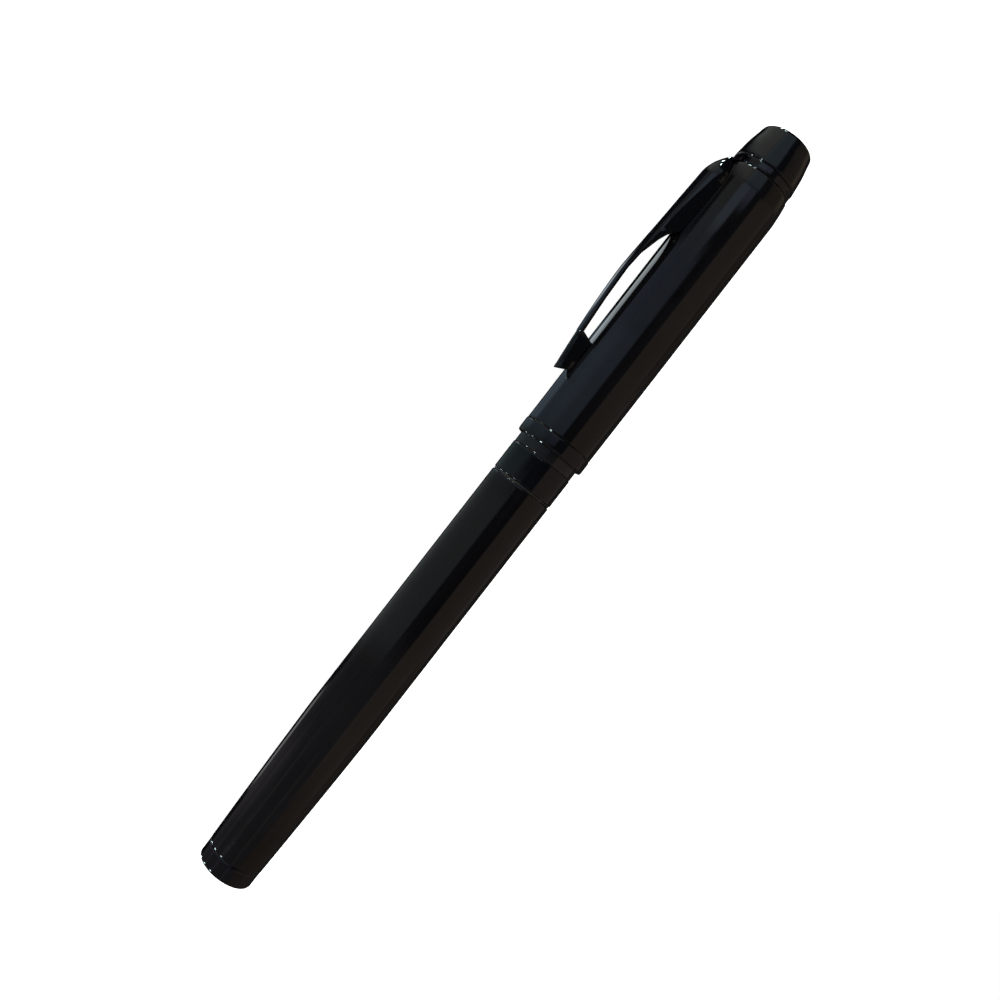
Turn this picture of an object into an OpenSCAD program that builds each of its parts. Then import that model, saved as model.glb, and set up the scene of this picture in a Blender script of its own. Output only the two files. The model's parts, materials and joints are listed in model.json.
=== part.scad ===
// Counterfeit detector pen: a capped metal pen that marks with a fibre nib
// and an ink-soaked reservoir. Every piece is turned, pressed or moulded on
// one axis. Stations are counted along that axis from the flat tail face.
// The pen lies on a surface: the tail towards -X, the crown towards +X, and
// the clip rolled down until its edge meets the surface.

/* [Barrel] */
// Outside diameter of the parallel part of the barrel
barrel_d = 10.38; // [10:0.02:12.6]
// Wall of the drawn barrel tube
barrel_wall = 0.4; // [0.35:0.05:0.6]
// Length of the barrel tube from the tail plug to its mouth
barrel_len = 69.3; // [56:0.1:84]
// Length of the tapered tail end of the tube
taper_len = 25.5; // [15:0.5:35]
// How much the radius falls along that taper
taper_drop = 0.615; // [0.3:0.005:0.8]
// Length of the tail plug that shows
plug_len = 2.9; // [2:0.1:5]
// Length of the plug's spigot inside the tube
plug_spigot_len = 6; // [5:0.5:8]
// Length of the threaded bush in the barrel's mouth
bush_len = 8; // [6:0.5:12]
// Wall of that bush
bush_wall = 0.45; // [0.3:0.05:0.6]

/* [Section] */
// Length of the trim collar next to the barrel
collar_len = 4.85; // [3:0.05:7]
// Length of the full-width shoulder beyond the collar
shoulder_len = 4; // [3.4:0.1:6]
// How far the shoulder's radius is below the barrel's
shoulder_drop = 0.08; // [0.04:0.01:0.2]
// Length of the neck that the cap snaps on to
neck_len = 4.8; // [4.6:0.1:6]
// How far the neck's radius is below the shoulder's
neck_drop = 0.5; // [0.4:0.05:0.6]
// Length of the finger grip
grip_len = 15; // [12:0.5:20]
// Radius of the grip where it meets the nose
grip_nose_r = 3.55; // [3.5:0.05:4]
// Length of the nose cone
nose_len = 5.5; // [4:0.1:7]
// Thread engagement, from the collar to the sleeve's end
thread_len = 6.75; // [5:0.25:8]
// Advance of the section thread for one turn
thread_pitch = 0.75; // [0.5:0.05:1]

/* [Refill] */
// Outside diameter of the ink reservoir
refill_d = 6.4; // [5.6:0.1:6.8]
// Wall of the reservoir tube
refill_wall = 0.35; // [0.25:0.05:0.5]
// Length of the reservoir tube
refill_len = 68; // [50:1:72]
// Diameter of the fibre nib
nib_d = 2.4; // [1.8:0.1:3]
// Length of nib that stands out of the nose
nib_out = 4.3; // [2.5:0.1:5]
// Travel of the sprung refill
refill_travel = 0.8; // [0.4:0.1:1.2]

/* [Spring] */
// Wire diameter of the tail spring
wire_d = 0.45; // [0.3:0.05:0.6]
// Mean radius of its coil
coil_r = 2.5; // [2:0.1:2.8]
// Number of turns
coil_turns = 8; // [5:1:9]

/* [Cap] */
// Length of the cap tube with its mouth band
cap_len = 50.7; // [42:0.1:61]
// Wall of the cap tube
cap_wall = 0.45; // [0.35:0.05:0.6]
// Distance from the collar to the cap's mouth when the cap is home
mouth_gap = 1.7; // [1:0.1:2.4]
// Length of the mouth band
band_len = 2.35; // [1.8:0.05:3]
// How far the band stands proud of the cap
band_proud = 0.05; // [0.02:0.01:0.15]
// Length of the cap's tapered top
cap_taper_len = 3.1; // [2:0.1:4]
// How much the radius falls along it
cap_taper_drop = 0.36; // [0.2:0.02:0.5]
// Thickness of the clip washer
washer_t = 1.35; // [1.2:0.05:2]
// Length of the crown
crown_len = 6.3; // [4:0.1:9]
// Radius of the crown's flat end
crown_end_r = 3.95; // [3:0.05:4.2]
// Diameter of the stud that ties the crown to the cap
stud_d = 3; // [2.5:0.1:3.5]
// Share of the room above the inner cap that the brass bush fills
cap_bush_share = 0.5; // [0.3:0.05:0.7]
// Air space ahead of the nib inside the inner cap
nib_room = 1.3; // [0.8:0.1:2]

/* [Clip] */
// Length of the clip from its root to its tip
clip_len = 40.7; // [34:0.1:48]
// Height of the clip over the cap at its crest
clip_crest_h = 3.34; // [2.4:0.01:3.6]
// Distance from the clip's root to the crest
clip_crest_at = 22.8; // [18:0.1:25]
// Height over the cap where the root's rounded back ends
clip_back_h = 2.4; // [1.6:0.05:2.6]
// Length of that rounded back
clip_back_len = 4.9; // [4:0.1:7]
// Height over the cap at the tip
clip_tip_h = 1.98; // [1.2:0.01:2.2]
// Thickness of the clip's blade at its middle
clip_t = 0.6; // [0.4:0.05:0.9]
// Width of the clip at its root
clip_root_w = 4.2; // [3.4:0.1:5]
// Width of the blade from the crest to the tip
clip_tip_w = 1.9; // [1.6:0.1:3]
// Length of the pad that presses on the pocket
pad_len = 6.4; // [4:0.1:9]
// Distance from the root to where the side walls leave the cap
clip_wall_len = 13.6; // [10:0.1:16]

/* [Clearances] */
// Radial play between the cap's bore and the section's shoulder
cap_play = 0.2; // [0.1:0.05:0.4]
// Radial gap of glued or pressed pieces
glue_gap = 0.02; // [0.01:0.01:0.05]
// Radial running clearance of threads and rings that turn
run_gap = 0.08; // [0.02:0.01:0.1]
// Axial clearance between pieces that move on each other
end_gap = 0.15; // [0.1:0.05:0.3]
// Gap at the seam between the barrel and the collar
seam_gap = 0.35; // [0.25:0.05:0.6]
// Radial play of the refill in the section
refill_play = 0.1; // [0.05:0.01:0.2]
// Gap between the clip and the cap's surface
clip_gap = 0.08; // [0.05:0.01:0.2]

/* [Hidden] */
fine = 96;
lip = 0.15;                       // small rounded edge on turned ends
barrel_r = barrel_d / 2;
tail_r = barrel_r - taper_drop;
refill_r = refill_d / 2;
nib_r = nib_d / 2;
stud_r = stud_d / 2;
shoulder_r = barrel_r - shoulder_drop;
neck_r = shoulder_r - neck_drop;
band_w = 1.2;                     // width of the snap band and its clutch ring
snap_r = neck_r + 0.25;           // crest of the snap band
cap_bore_r = shoulder_r + cap_play;
cap_r = cap_bore_r + cap_wall;
band_r = cap_r + band_proud;
bush_bore_r = barrel_r - barrel_wall - bush_wall;
thread_r = bush_bore_r - run_gap;
sleeve_bore_r = refill_r + refill_play;
sleeve_seat_r = barrel_r - 0.6;   // where the collar and grip are glued on

// Stations along the axis, from the tail face
z_tube = plug_len;
z_mouth = z_tube + barrel_len;
z_collar = z_mouth + seam_gap;
z_grip = z_collar + collar_len;
z_neck = z_grip + shoulder_len;
z_hold = z_neck + neck_len;
z_nose = z_hold + grip_len;
z_nose_end = z_nose + nose_len;
z_nib = z_nose_end + nib_out;
z_refill_front = z_nose - 0.5;
z_refill = z_refill_front - refill_len;
z_cap = z_grip + mouth_gap;
z_band = z_cap + band_len;
z_cap_top = z_cap + cap_len;
z_crown = z_cap_top + washer_t;
total_len = z_crown + crown_len;
z_snap = z_hold - band_w - 0.1;
z_clutch = z_snap - end_gap - band_w;
z_spigot_end = z_clutch - end_gap;
z_inner_cap = z_snap;
z_chamber = z_nose - 1;
z_floor = z_nib + nib_room;
cap_end_t = 0.8;                  // thickness of the cap tube's end wall
liner_floor_t = 1.2;              // thickness of the inner cap's closed end
z_liner_end = z_floor + liner_floor_t;
cap_bush_len = cap_bush_share * (z_cap_top - cap_end_t - z_liner_end);
z_cap_bush = z_cap_top - cap_end_t - cap_bush_len;
z_stud = z_cap_bush + 0.5;
plug_pocket = 4;                  // depth of the spring's pocket in the tail plug
z_spring = z_tube + plug_spigot_len - plug_pocket;
stud_reach = 3.4;                 // how far the stud goes into the crown
nib_seat = 4;                     // how deep the nib reaches into the wick

// The clip's root, its arch and its tang
z_root = z_cap_top + 0.1;
arch_c = cap_r + 0.1;             // centre line of the arch across the clip
tang_t = 0.85;
tang_w = 2.8;
tang_in_r = 3.9;
z_tang = z_cap_top + 0.08;
washer_r = cap_r - cap_taper_drop - 0.2;
crest_r = cap_r + clip_crest_h;

// Outer height of the clip over the cap at a distance from its root: the
// rounded back, a straight rise to the crest and a slow fall to the tip
function clip_h(d) =
    d < clip_back_len ? 0.25 + (clip_back_h - 0.25)
        * sin(90 * pow(max(0, d) / clip_back_len, 0.9)) :
    d < clip_crest_at ? clip_back_h + (clip_crest_h - clip_back_h)
        * (d - clip_back_len) / (clip_crest_at - clip_back_len) :
    clip_crest_h - (clip_crest_h - clip_tip_h)
        * pow((d - clip_crest_at) / (clip_len - clip_crest_at), 1.6);

// Half width of the clip at that distance
function clip_half_w(d) = let (s = (d - clip_back_len) / (clip_crest_at - clip_back_len))
    (clip_root_w + (clip_tip_w - clip_root_w) * min(1, max(0, s))) / 2;

// Radius of the arch, and distance of its side edge from the cap's axis
function arch_r(d) = cap_r + clip_h(d) - arch_c;
function edge_r(d) = arch_c + sqrt(pow(arch_r(d), 2) - pow(clip_half_w(d), 2));

// The roll that lays the lowest of the clip's edges on the surface
axis_h = band_r;
edge_stations = [for (i = [0:30]) clip_back_len
                 + (clip_crest_at - clip_back_len) * i / 30];
clip_roll = min([for (d = edge_stations)
    asin((axis_h - 0.01) / norm([edge_r(d), clip_half_w(d)]))
    - atan2(clip_half_w(d), edge_r(d))]);
clip_reach = max([for (d = edge_stations)
    edge_r(d) * cos(clip_roll) + clip_half_w(d) * sin(clip_roll)]);
axis_y = (band_r - clip_reach) / 2;   // centres the outline across the surface

// Lays the turned axis along X at its height over the surface, and rolls the clip
module lay() {
    translate([-total_len / 2, axis_y, axis_h])
        rotate([0, 90, 0])
            rotate([0, 0, 90 - clip_roll])
                children();
}

// A turned piece from its half section of [radius, station] points
module turned(points) {
    rotate_extrude($fn = fine) polygon(points);
}

// A plain ring between two stations
module ring(r_out, r_in, z0, z1) {
    turned([[r_in, z0], [r_out, z0], [r_out, z1], [r_in, z1]]);
}

// Outer radius of the barrel at a distance behind the start of its taper
function taper_r(d) = let (s = max(0, d) / taper_len)
    barrel_r - taper_drop * (0.685 * s + 0.315 * s * s);

// Points of a quarter round: centre, radius and start angle
function quarter(cr, cz, r, start, steps = 3) =
    [for (i = [0:steps]) [cr + r * cos(start + 90 * i / steps),
                          cz + r * sin(start + 90 * i / steps)]];

// ---- Barrel ----

module tail_plug() {
    spigot_r = tail_r - barrel_wall - glue_gap;
    color("#1b1d21") lay() difference() {
        turned(concat(
            [[0, 0], [tail_r - 0.17, 0], [tail_r - 0.11, 0.08],
             [tail_r - 0.03, plug_len - 0.25], [tail_r - 0.16, plug_len - 0.02]],
            [[spigot_r, plug_len - 0.02], [spigot_r, plug_len + plug_spigot_len],
             [0, plug_len + plug_spigot_len]]));
        translate([0, 0, z_spring])
            cylinder(r = coil_r + wire_d / 2 + 0.15, h = plug_spigot_len, $fn = fine);
    }
}

module barrel_tube() {
    steps = 6;
    taper_top = z_tube + taper_len;
    outer = [for (i = [0:steps]) [taper_r(taper_len * (1 - i / steps)),
                                  z_tube + taper_len * i / steps]];
    inner = [for (i = [steps:-1:0]) [outer[i][0] - barrel_wall, outer[i][1]]];
    color("#15171b") lay() turned(concat(
        outer,
        [[barrel_r, z_mouth - lip], [barrel_r - lip / 3, z_mouth - lip / 3],
         [barrel_r - lip, z_mouth], [barrel_r - barrel_wall, z_mouth]],
        inner));
}

module barrel_bush() {
    color("#b08d4a") lay()
        ring(barrel_r - barrel_wall - glue_gap, bush_bore_r,
             z_mouth - 0.1 - bush_len, z_mouth - 0.1);
}

// Points of the spring's wire at one angle round the helix
function helix_ring(t, len, sides) = let (a = 360 * coil_turns * t)
    [for (k = [0:sides - 1]) let (b = 360 * k / sides,
        r = coil_r + wire_d / 2 * cos(b))
        [r * cos(a), r * sin(a),
         wire_d / 2 + (len - wire_d) * t + wire_d / 2 * sin(b)]];

module tail_spring() {
    sides = 6;
    rings = 16 * coil_turns;
    z0 = z_spring + 0.02;
    len = z_refill - 0.04 - z0;
    points = [for (i = [0:rings]) each helix_ring(i / rings, len, sides)];
    walls = [for (i = [0:rings - 1]) for (k = [0:sides - 1]) let (n = (k + 1) % sides)
        each [[i * sides + k, i * sides + n, (i + 1) * sides + n],
              [i * sides + k, (i + 1) * sides + n, (i + 1) * sides + k]]];
    ends = [[for (k = [sides - 1:-1:0]) k],
            [for (k = [0:sides - 1]) rings * sides + k]];
    color("#9a9da3") lay() translate([0, 0, z0])
        polyhedron(points, concat(walls, ends), convexity = 8);
}

// ---- Seal between barrel and section ----

module seal_ring() {
    r = seam_gap / 2 - 0.05;
    color("#101010") lay()
        rotate_extrude($fn = fine)
            translate([barrel_r - 0.1 - r, z_mouth + seam_gap / 2]) circle(r = r, $fn = 24);
}

// ---- Section ----

module section_collar() {
    recess = 0.25;
    color("#15171b") lay() turned([
        [sleeve_seat_r + glue_gap, z_collar + recess],
        [barrel_r - 0.46, z_collar + recess], [barrel_r - 0.4, z_collar],
        [barrel_r - lip, z_collar], [barrel_r - lip / 3, z_collar + lip / 3],
        [barrel_r, z_collar + lip], [barrel_r, z_grip - lip],
        [barrel_r - lip / 3, z_grip - lip / 3], [barrel_r - lip, z_grip],
        [sleeve_seat_r + glue_gap, z_grip]]);
}

module section_sleeve() {
    z_end = z_collar - thread_len;
    color("#b08d4a") lay() turned([
        [sleeve_bore_r, z_end], [thread_r - 0.25, z_end], [thread_r, z_end + 0.3],
        [thread_r, z_collar - 0.4], [thread_r - 0.25, z_collar - 0.4],
        [thread_r - 0.25, z_collar + 0.3], [sleeve_seat_r, z_collar + 0.3],
        [sleeve_seat_r, z_neck - 1], [sleeve_bore_r, z_neck - 1]]);
}

// Radius of the waisted grip at a share of its length
function grip_r(s) = let (top = neck_r - 0.05)
    top + (grip_nose_r - top) * s - 0.28 * sin(180 * s);

module grip() {
    steps = 8;
    bore = refill_r + refill_play;
    waist = [for (i = [0:steps]) [grip_r(i / steps), z_hold + grip_len * i / steps]];
    color("#131416") lay() turned(concat(
        [[sleeve_seat_r + glue_gap, z_grip + 0.02], [shoulder_r - 0.08, z_grip + 0.02],
         [shoulder_r, z_grip + 0.12], [shoulder_r, z_neck - lip],
         [shoulder_r - lip, z_neck], [neck_r, z_neck], [neck_r, z_snap - 0.01],
         [neck_r - 0.2, z_snap - 0.01], [neck_r - 0.2, z_snap + band_w + 0.01],
         [neck_r, z_snap + band_w + 0.01], [neck_r, z_hold - 0.05]],
        waist,
        [[bore, z_nose], [bore, z_neck - 0.98],
         [sleeve_seat_r + glue_gap, z_neck - 0.98]]));
}

module snap_band() {
    seat_r = neck_r - 0.2 + glue_gap;
    color("#8d9096") lay() turned([
        [seat_r, z_snap], [neck_r, z_snap], [snap_r, z_snap + 0.35],
        [snap_r, z_snap + band_w - 0.35], [neck_r, z_snap + band_w],
        [seat_r, z_snap + band_w]]);
}

module nose_cone() {
    tip_r = nib_r + 0.55;
    bore = nib_r + refill_play;
    spigot_r = refill_r + refill_play - glue_gap;
    color("#1b1d21") lay() turned(concat(
        [[bore, z_nose + 0.35], [spigot_r - 0.4, z_nose + 0.35],
         [spigot_r - 0.4, z_nose - 0.35], [spigot_r, z_nose - 0.35],
         [spigot_r, z_nose + 0.02]],
        [[grip_nose_r - 0.15, z_nose + 0.02], [grip_nose_r, z_nose + 0.15],
         [grip_nose_r, z_nose + 0.75]],
        [for (i = [1:4]) let (s = i / 4)
            [grip_nose_r + (tip_r - grip_nose_r) * s + 0.3 * sin(180 * s),
             z_nose + 0.75 + (nose_len - 0.9) * s]],
        [[tip_r - lip, z_nose_end], [bore, z_nose_end]]));
}

// ---- Refill ----

module reservoir_tube() {
    color("#d9d9d4") lay()
        ring(refill_r, refill_r - refill_wall, z_refill, z_refill_front);
}

module reservoir_plug() {
    plug_r = refill_r - refill_wall - glue_gap;
    color("#e7e6e1") lay() turned([
        [0, z_refill], [plug_r - 0.2, z_refill], [plug_r, z_refill + 0.2],
        [plug_r, z_refill + 4], [0, z_refill + 4]]);
}

module ink_wick() {
    wick_r = refill_r - refill_wall - 0.05;
    color("#6b4a22") lay() difference() {
        ring(wick_r, 0, z_refill + 4, z_refill_front - 4);
        translate([0, 0, z_refill_front - 4 - nib_seat])
            cylinder(r = nib_r + glue_gap, h = nib_seat + 1, $fn = fine);
    }
}

module nib_holder() {
    holder_r = refill_r - refill_wall - glue_gap;
    color("#e7e6e1") lay() turned([
        [nib_r + glue_gap, z_refill_front - 4], [holder_r, z_refill_front - 4],
        [holder_r, z_refill_front], [holder_r - 0.3, z_refill_front + 0.08],
        [nib_r + glue_gap, z_refill_front + 0.08]]);
}

module nib() {
    ball_r = 0.45;
    z_ball = z_nib - ball_r;
    z_cone = z_nib - 2.1;
    color("#c9a24e") lay() turned(concat(
        [[0, z_refill_front - 4 - nib_seat], [nib_r, z_refill_front - 4 - nib_seat],
         [nib_r, z_cone]],
        quarter(0, z_ball, ball_r, 0, 4)));
}

// ---- Cap ----

module clutch_ring() {
    inner = snap_r + run_gap;
    outer = cap_bore_r - run_gap;
    color("#8d9096") lay() turned([
        [inner, z_clutch + 0.2], [inner + 0.12, z_clutch], [outer, z_clutch],
        [outer, z_clutch + band_w], [inner + 0.12, z_clutch + band_w],
        [inner, z_clutch + band_w - 0.2]]);
}

module cap_band() {
    spigot_in = snap_r + 2 * run_gap;
    color("#1b1d21") lay() turned([
        [cap_bore_r, z_cap + 0.1], [cap_bore_r + 0.1, z_cap], [band_r - 0.25, z_cap],
        [band_r - 0.07, z_cap + 0.12], [band_r, z_cap + 0.35],
        [band_r, z_band - 0.2], [band_r - 0.12, z_band],
        [cap_bore_r - glue_gap, z_band], [cap_bore_r - glue_gap, z_spigot_end],
        [spigot_in, z_spigot_end], [spigot_in, z_neck + end_gap],
        [cap_bore_r, z_neck + end_gap]]);
}

module cap_tube() {
    top_r = cap_r - cap_taper_drop;
    z_taper = z_cap_top - cap_taper_len;
    color("#15171b") lay() turned(concat(
        [[cap_bore_r, z_band + 0.01], [cap_r - 0.12, z_band + 0.01],
         [cap_r, z_band + 0.16], [cap_r, z_taper - 1.2],
         [cap_r - 0.03, z_taper], [cap_r - 0.14, z_taper + 1.1],
         [top_r + 0.04, z_cap_top - 0.35]],
        [[top_r - 0.08, z_cap_top - 0.08], [top_r - 0.28, z_cap_top],
         [stud_r + 0.1, z_cap_top], [stud_r + 0.1, z_cap_top - cap_end_t]],
        [[top_r - cap_wall - 0.5, z_cap_top - cap_end_t],
         [cap_bore_r - 0.25, z_cap_top - cap_end_t - 0.8],
         [cap_bore_r, z_taper - 1.2]]));
}

module inner_cap() {
    outer = cap_bore_r - glue_gap;
    mouth = neck_r + 0.35;
    chamber = grip_nose_r + 0.4;
    foot = cap_bore_r - 1.4;
    color("#2a2b2e") lay() turned([
        [mouth, z_inner_cap + 0.05], [outer, z_inner_cap + 0.05], [outer, z_chamber + 2],
        [chamber + 0.8, z_chamber + 4], [chamber + 0.8, z_floor + 0.4],
        [foot - 0.6, z_liner_end], [0, z_liner_end], [0, z_floor],
        [chamber - 0.4, z_floor], [chamber, z_floor - 0.4],
        [chamber, z_chamber + 2.6], [mouth, z_chamber]]);
}

module cap_bush() {
    bush_r = cap_bore_r - 0.3;
    top = z_cap_top - cap_end_t;
    color("#b08d4a") lay() turned([
        [stud_r + glue_gap, z_cap_bush], [bush_r, z_cap_bush],
        [bush_r, top - 1.6], [bush_r - 0.9, top - 0.02], [stud_r + glue_gap, top - 0.02]]);
}

module clip_washer() {
    rim = washer_r;
    slot_w = tang_w + 0.5;
    color("#15171b") lay() difference() {
        turned([[stud_r + 0.1, z_cap_top + 0.01], [rim - 0.15, z_cap_top + 0.01],
                [rim, z_cap_top + 0.2], [rim, z_crown - 0.2],
                [rim - 0.15, z_crown - 0.01], [stud_r + 0.1, z_crown - 0.01]]);
        translate([tang_in_r - 0.3, -slot_w / 2, z_cap_top - 1])
            cube([cap_r, slot_w, washer_t + 2]);
    }
}

module crown_stud() {
    z_end = z_crown + stud_reach;
    color("#b08d4a") lay() turned([
        [0, z_stud], [stud_r - 0.25, z_stud], [stud_r, z_stud + 0.3],
        [stud_r, z_end - 0.3], [stud_r - 0.25, z_end], [0, z_end]]);
}

module crown() {
    base_r = cap_r - cap_taper_drop - 0.12;
    waist_r = crown_end_r + 0.45;
    z_waist = total_len - 0.75;
    bore = stud_r + glue_gap;
    color("#1b1d21") lay() turned([
        [bore, z_crown], [base_r - 0.2, z_crown], [base_r - 0.06, z_crown + 0.07],
        [base_r, z_crown + 0.22],
        [base_r - 0.1, z_crown + 1.1], [base_r - 0.23, z_crown + 2.3],
        [base_r - 0.4, z_crown + 3.5], [base_r - 0.6, z_crown + 4.3],
        [waist_r, z_waist], [waist_r - 0.12, total_len - 0.3],
        [crown_end_r, total_len], [0, total_len],
        [0, z_crown + stud_reach + 0.3], [bore, z_crown + stud_reach + 0.3]]);
}

// ---- Clip ----

// Half outline of the arch's turned body, measured from the arch's centre line
function arch_points() = concat(
    [for (i = [0:8]) let (d = clip_back_len * i / 8) [arch_r(d), z_root - d]],
    [[arch_r(clip_crest_at) - 0.01, z_root - clip_crest_at + 1]],
    [for (i = [0:5]) let (d = clip_crest_at + (clip_len - clip_crest_at) * i / 5)
        [arch_r(d), z_root - d]]);

// Side view of the clip, with the opening between it and the cap
module clip_side() {
    foot = cap_r + clip_gap;
    z_tip = z_root - clip_len;
    pad_z = z_tip + pad_len;
    wall_z = z_root - clip_wall_len;
    mid = (clip_crest_at + clip_len - pad_len) / 2;
    polygon([
        [cap_r - 1, z_root], [crest_r + 1, z_root], [crest_r + 1, z_tip],
        [cap_r + clip_tip_h, z_tip], [foot + 0.25, z_tip + 0.9], [foot, z_tip + 1.6],
        [foot, pad_z - 0.3], [foot + 0.3, pad_z],
        [cap_r + clip_h(clip_len - pad_len) - clip_t, pad_z],
        [cap_r + clip_h(mid) - clip_t, z_root - mid],
        [crest_r - clip_t, z_root - clip_crest_at],
        [cap_r + clip_h(clip_crest_at - 2.8) - clip_t, z_root - clip_crest_at + 2.8],
        [foot + 1.75, wall_z - 3.3], [foot + 1.2, wall_z - 1.9],
        [foot - 0.2, wall_z], [cap_r - 1, wall_z]]);
}

// Plan view of the clip: it narrows to the blade, which has a rounded tip
module clip_plan() {
    r = clip_tip_w / 2;
    z_tip = z_root - clip_len + r;
    translate([0, z_tip]) circle(r = r, $fn = 48);
    polygon([
        [-r, z_tip], [r, z_tip], [r, z_root - clip_crest_at],
        [clip_root_w / 2, z_root - clip_back_len], [clip_root_w / 2, z_root + 1],
        [-clip_root_w / 2, z_root + 1], [-clip_root_w / 2, z_root - clip_back_len],
        [-r, z_root - clip_crest_at]]);
}

// The tang in the washer's slot, and the neck that joins it to the clip's root
module tang() {
    neck_w = 2;
    translate([tang_in_r, -tang_w / 2, z_tang])
        cube([washer_r - tang_in_r, tang_w, tang_t]);
    hull() {
        translate([washer_r - 0.05, -tang_w / 2, z_tang]) cube([0.15, tang_w, tang_t]);
        translate([cap_r + clip_gap + 0.02, -neck_w / 2, z_root - 0.5])
            cube([0.3, neck_w, 0.2]);
    }
}

module clip() {
    color("#15171b") lay() union() {
        difference() {
            intersection() {
                translate([arch_c, 0, 0])
                    turned(concat([[0, z_root]], arch_points(), [[0, z_root - clip_len]]));
                rotate([90, 0, 0]) linear_extrude(height = clip_root_w + 2, center = true)
                    clip_side();
                rotate([90, 0, 90]) linear_extrude(height = 4 * cap_r, center = true)
                    clip_plan();
            }
            cylinder(r = cap_r + clip_gap, h = z_root + 1, $fn = fine);
        }
        tang();
    }
}

tail_plug();
barrel_tube();
barrel_bush();
tail_spring();
seal_ring();
section_collar();
section_sleeve();
grip();
snap_band();
nose_cone();
reservoir_tube();
reservoir_plug();
ink_wick();
nib_holder();
nib();
clutch_ring();
cap_band();
cap_tube();
inner_cap();
cap_bush();
clip_washer();
crown_stud();
crown();
clip();
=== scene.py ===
"""A capped counterfeit detector pen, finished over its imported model.

Every piece is turned, wound or pressed in pen space: millimetres, with X along
the pen's axis towards the crown, Y out through the clip and Z square to both.
One matrix lays that space on the surface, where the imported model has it.
"""

import json
import logging
import math
from collections.abc import Callable, Iterable, Sequence
from dataclasses import dataclass, field
from enum import Enum
from functools import cached_property
from typing import ClassVar

import bmesh
import bpy
from bmesh.types import BMesh, BMEdge, BMVert
from mathutils import Matrix, Vector


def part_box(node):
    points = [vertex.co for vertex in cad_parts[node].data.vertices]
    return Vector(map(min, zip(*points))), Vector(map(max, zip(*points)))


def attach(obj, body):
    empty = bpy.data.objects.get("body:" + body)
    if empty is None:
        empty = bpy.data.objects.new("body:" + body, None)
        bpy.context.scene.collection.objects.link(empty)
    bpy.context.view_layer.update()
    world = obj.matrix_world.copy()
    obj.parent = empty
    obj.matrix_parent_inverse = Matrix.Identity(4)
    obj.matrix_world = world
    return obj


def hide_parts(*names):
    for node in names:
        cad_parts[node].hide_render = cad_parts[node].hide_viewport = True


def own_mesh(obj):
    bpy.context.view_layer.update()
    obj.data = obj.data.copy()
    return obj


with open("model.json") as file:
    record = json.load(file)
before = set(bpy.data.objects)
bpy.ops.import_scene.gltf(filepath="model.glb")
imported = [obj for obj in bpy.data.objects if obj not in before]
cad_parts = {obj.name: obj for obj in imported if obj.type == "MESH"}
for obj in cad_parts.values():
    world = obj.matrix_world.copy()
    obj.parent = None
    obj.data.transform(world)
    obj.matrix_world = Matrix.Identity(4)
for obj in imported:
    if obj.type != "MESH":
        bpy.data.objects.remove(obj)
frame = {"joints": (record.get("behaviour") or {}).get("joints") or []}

LOG = logging.getLogger("detector_pen")
MM = 0.001
FACETS = 144          # facets round a turned piece
COIL_FACETS = 36      # steps in one turn of a coil or thread
BEVEL_STEPS = 3       # facets across a rounded edge
HOLD = 2.4            # distance of a holding corner, in widths of the rounding
WELD = 1e-4           # points closer than this are one, in mm
SHARP = 34.0          # an edge steeper than this shades sharp, in degrees
RIM = "rim"           # attribute that is 1 on rounded rims and 0 elsewhere
Colour = tuple[float, float, float]


class Body(Enum):
    """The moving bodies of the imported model."""

    BARREL = "barrel"
    SEAL = "seal"
    SECTION = "section"
    REFILL = "refill"
    CLUTCH = "clutch"
    CAP = "cap"
    CLIP = "clip"


class Slot(Enum):
    """The material slots of the record."""

    LACQUER = "black_lacquer"
    TRIM = "black_trim"
    BRASS = "brass"
    STEEL = "spring_steel"
    RUBBER = "seal_rubber"
    GRIP = "grip_plastic"
    LINER = "liner_plastic"
    REFILL = "refill_plastic"
    WICK = "wick_fibre"
    NIB = "nib_fibre"


# ---- Pen space -------------------------------------------------------------


@dataclass(frozen=True)
class Span:
    """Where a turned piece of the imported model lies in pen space, in mm."""

    start: float
    end: float
    radius: float

    @property
    def length(self) -> float:
        """Length along the axis."""
        return self.end - self.start


@dataclass(frozen=True)
class PenAxis:
    """The pen's axis over the surface, and how far the clip is rolled down."""

    y: float
    z: float
    roll: float

    @classmethod
    def of_model(cls) -> "PenAxis":
        """Reads the axis from the barrel's box and the roll from the clip's hinge."""
        low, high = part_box("barrel_tube")
        hinge = next(j for j in frame["joints"] if j["name"] == "clip_flex")
        return cls((low.y + high.y) / 2, (low.z + high.z) / 2,
                   math.atan2(-hinge["axis"][1], -hinge["axis"][2]))

    @property
    def across(self) -> Vector:
        """Direction out through the clip."""
        return Vector((0, math.cos(self.roll), -math.sin(self.roll)))

    @property
    def facing(self) -> Vector:
        """Direction square to the clip, on the upper side."""
        return Vector((0, math.sin(self.roll), math.cos(self.roll)))

    def matrix(self) -> Matrix:
        """Carries pen space in mm to the frame in metres."""
        return (Matrix.Translation((0, self.y, self.z))
                @ Matrix.Rotation(-self.roll, 4, "X") @ Matrix.Scale(MM, 4))

    def span(self, node: str) -> Span:
        """Gives the ends and the radius of a turned node.

        Args:
            node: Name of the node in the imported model.

        Returns:
            Its span in pen space.
        """
        low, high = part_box(node)
        return Span(low.x / MM, high.x / MM, (high.z - low.z) / 2 / MM)


# ---- Turning ---------------------------------------------------------------


@dataclass(frozen=True)
class Corner:
    """One corner of a turned outline: station, radius and width of its rounding."""

    x: float
    r: float
    edge: float = 0.0

    def towards(self, other: "Corner", distance: float) -> "Corner":
        """A plain corner at a distance from this one on the way to another."""
        share = distance / math.dist((self.x, self.r), (other.x, other.r))
        return Corner(self.x + (other.x - self.x) * share,
                      self.r + (other.r - self.r) * share)


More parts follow.
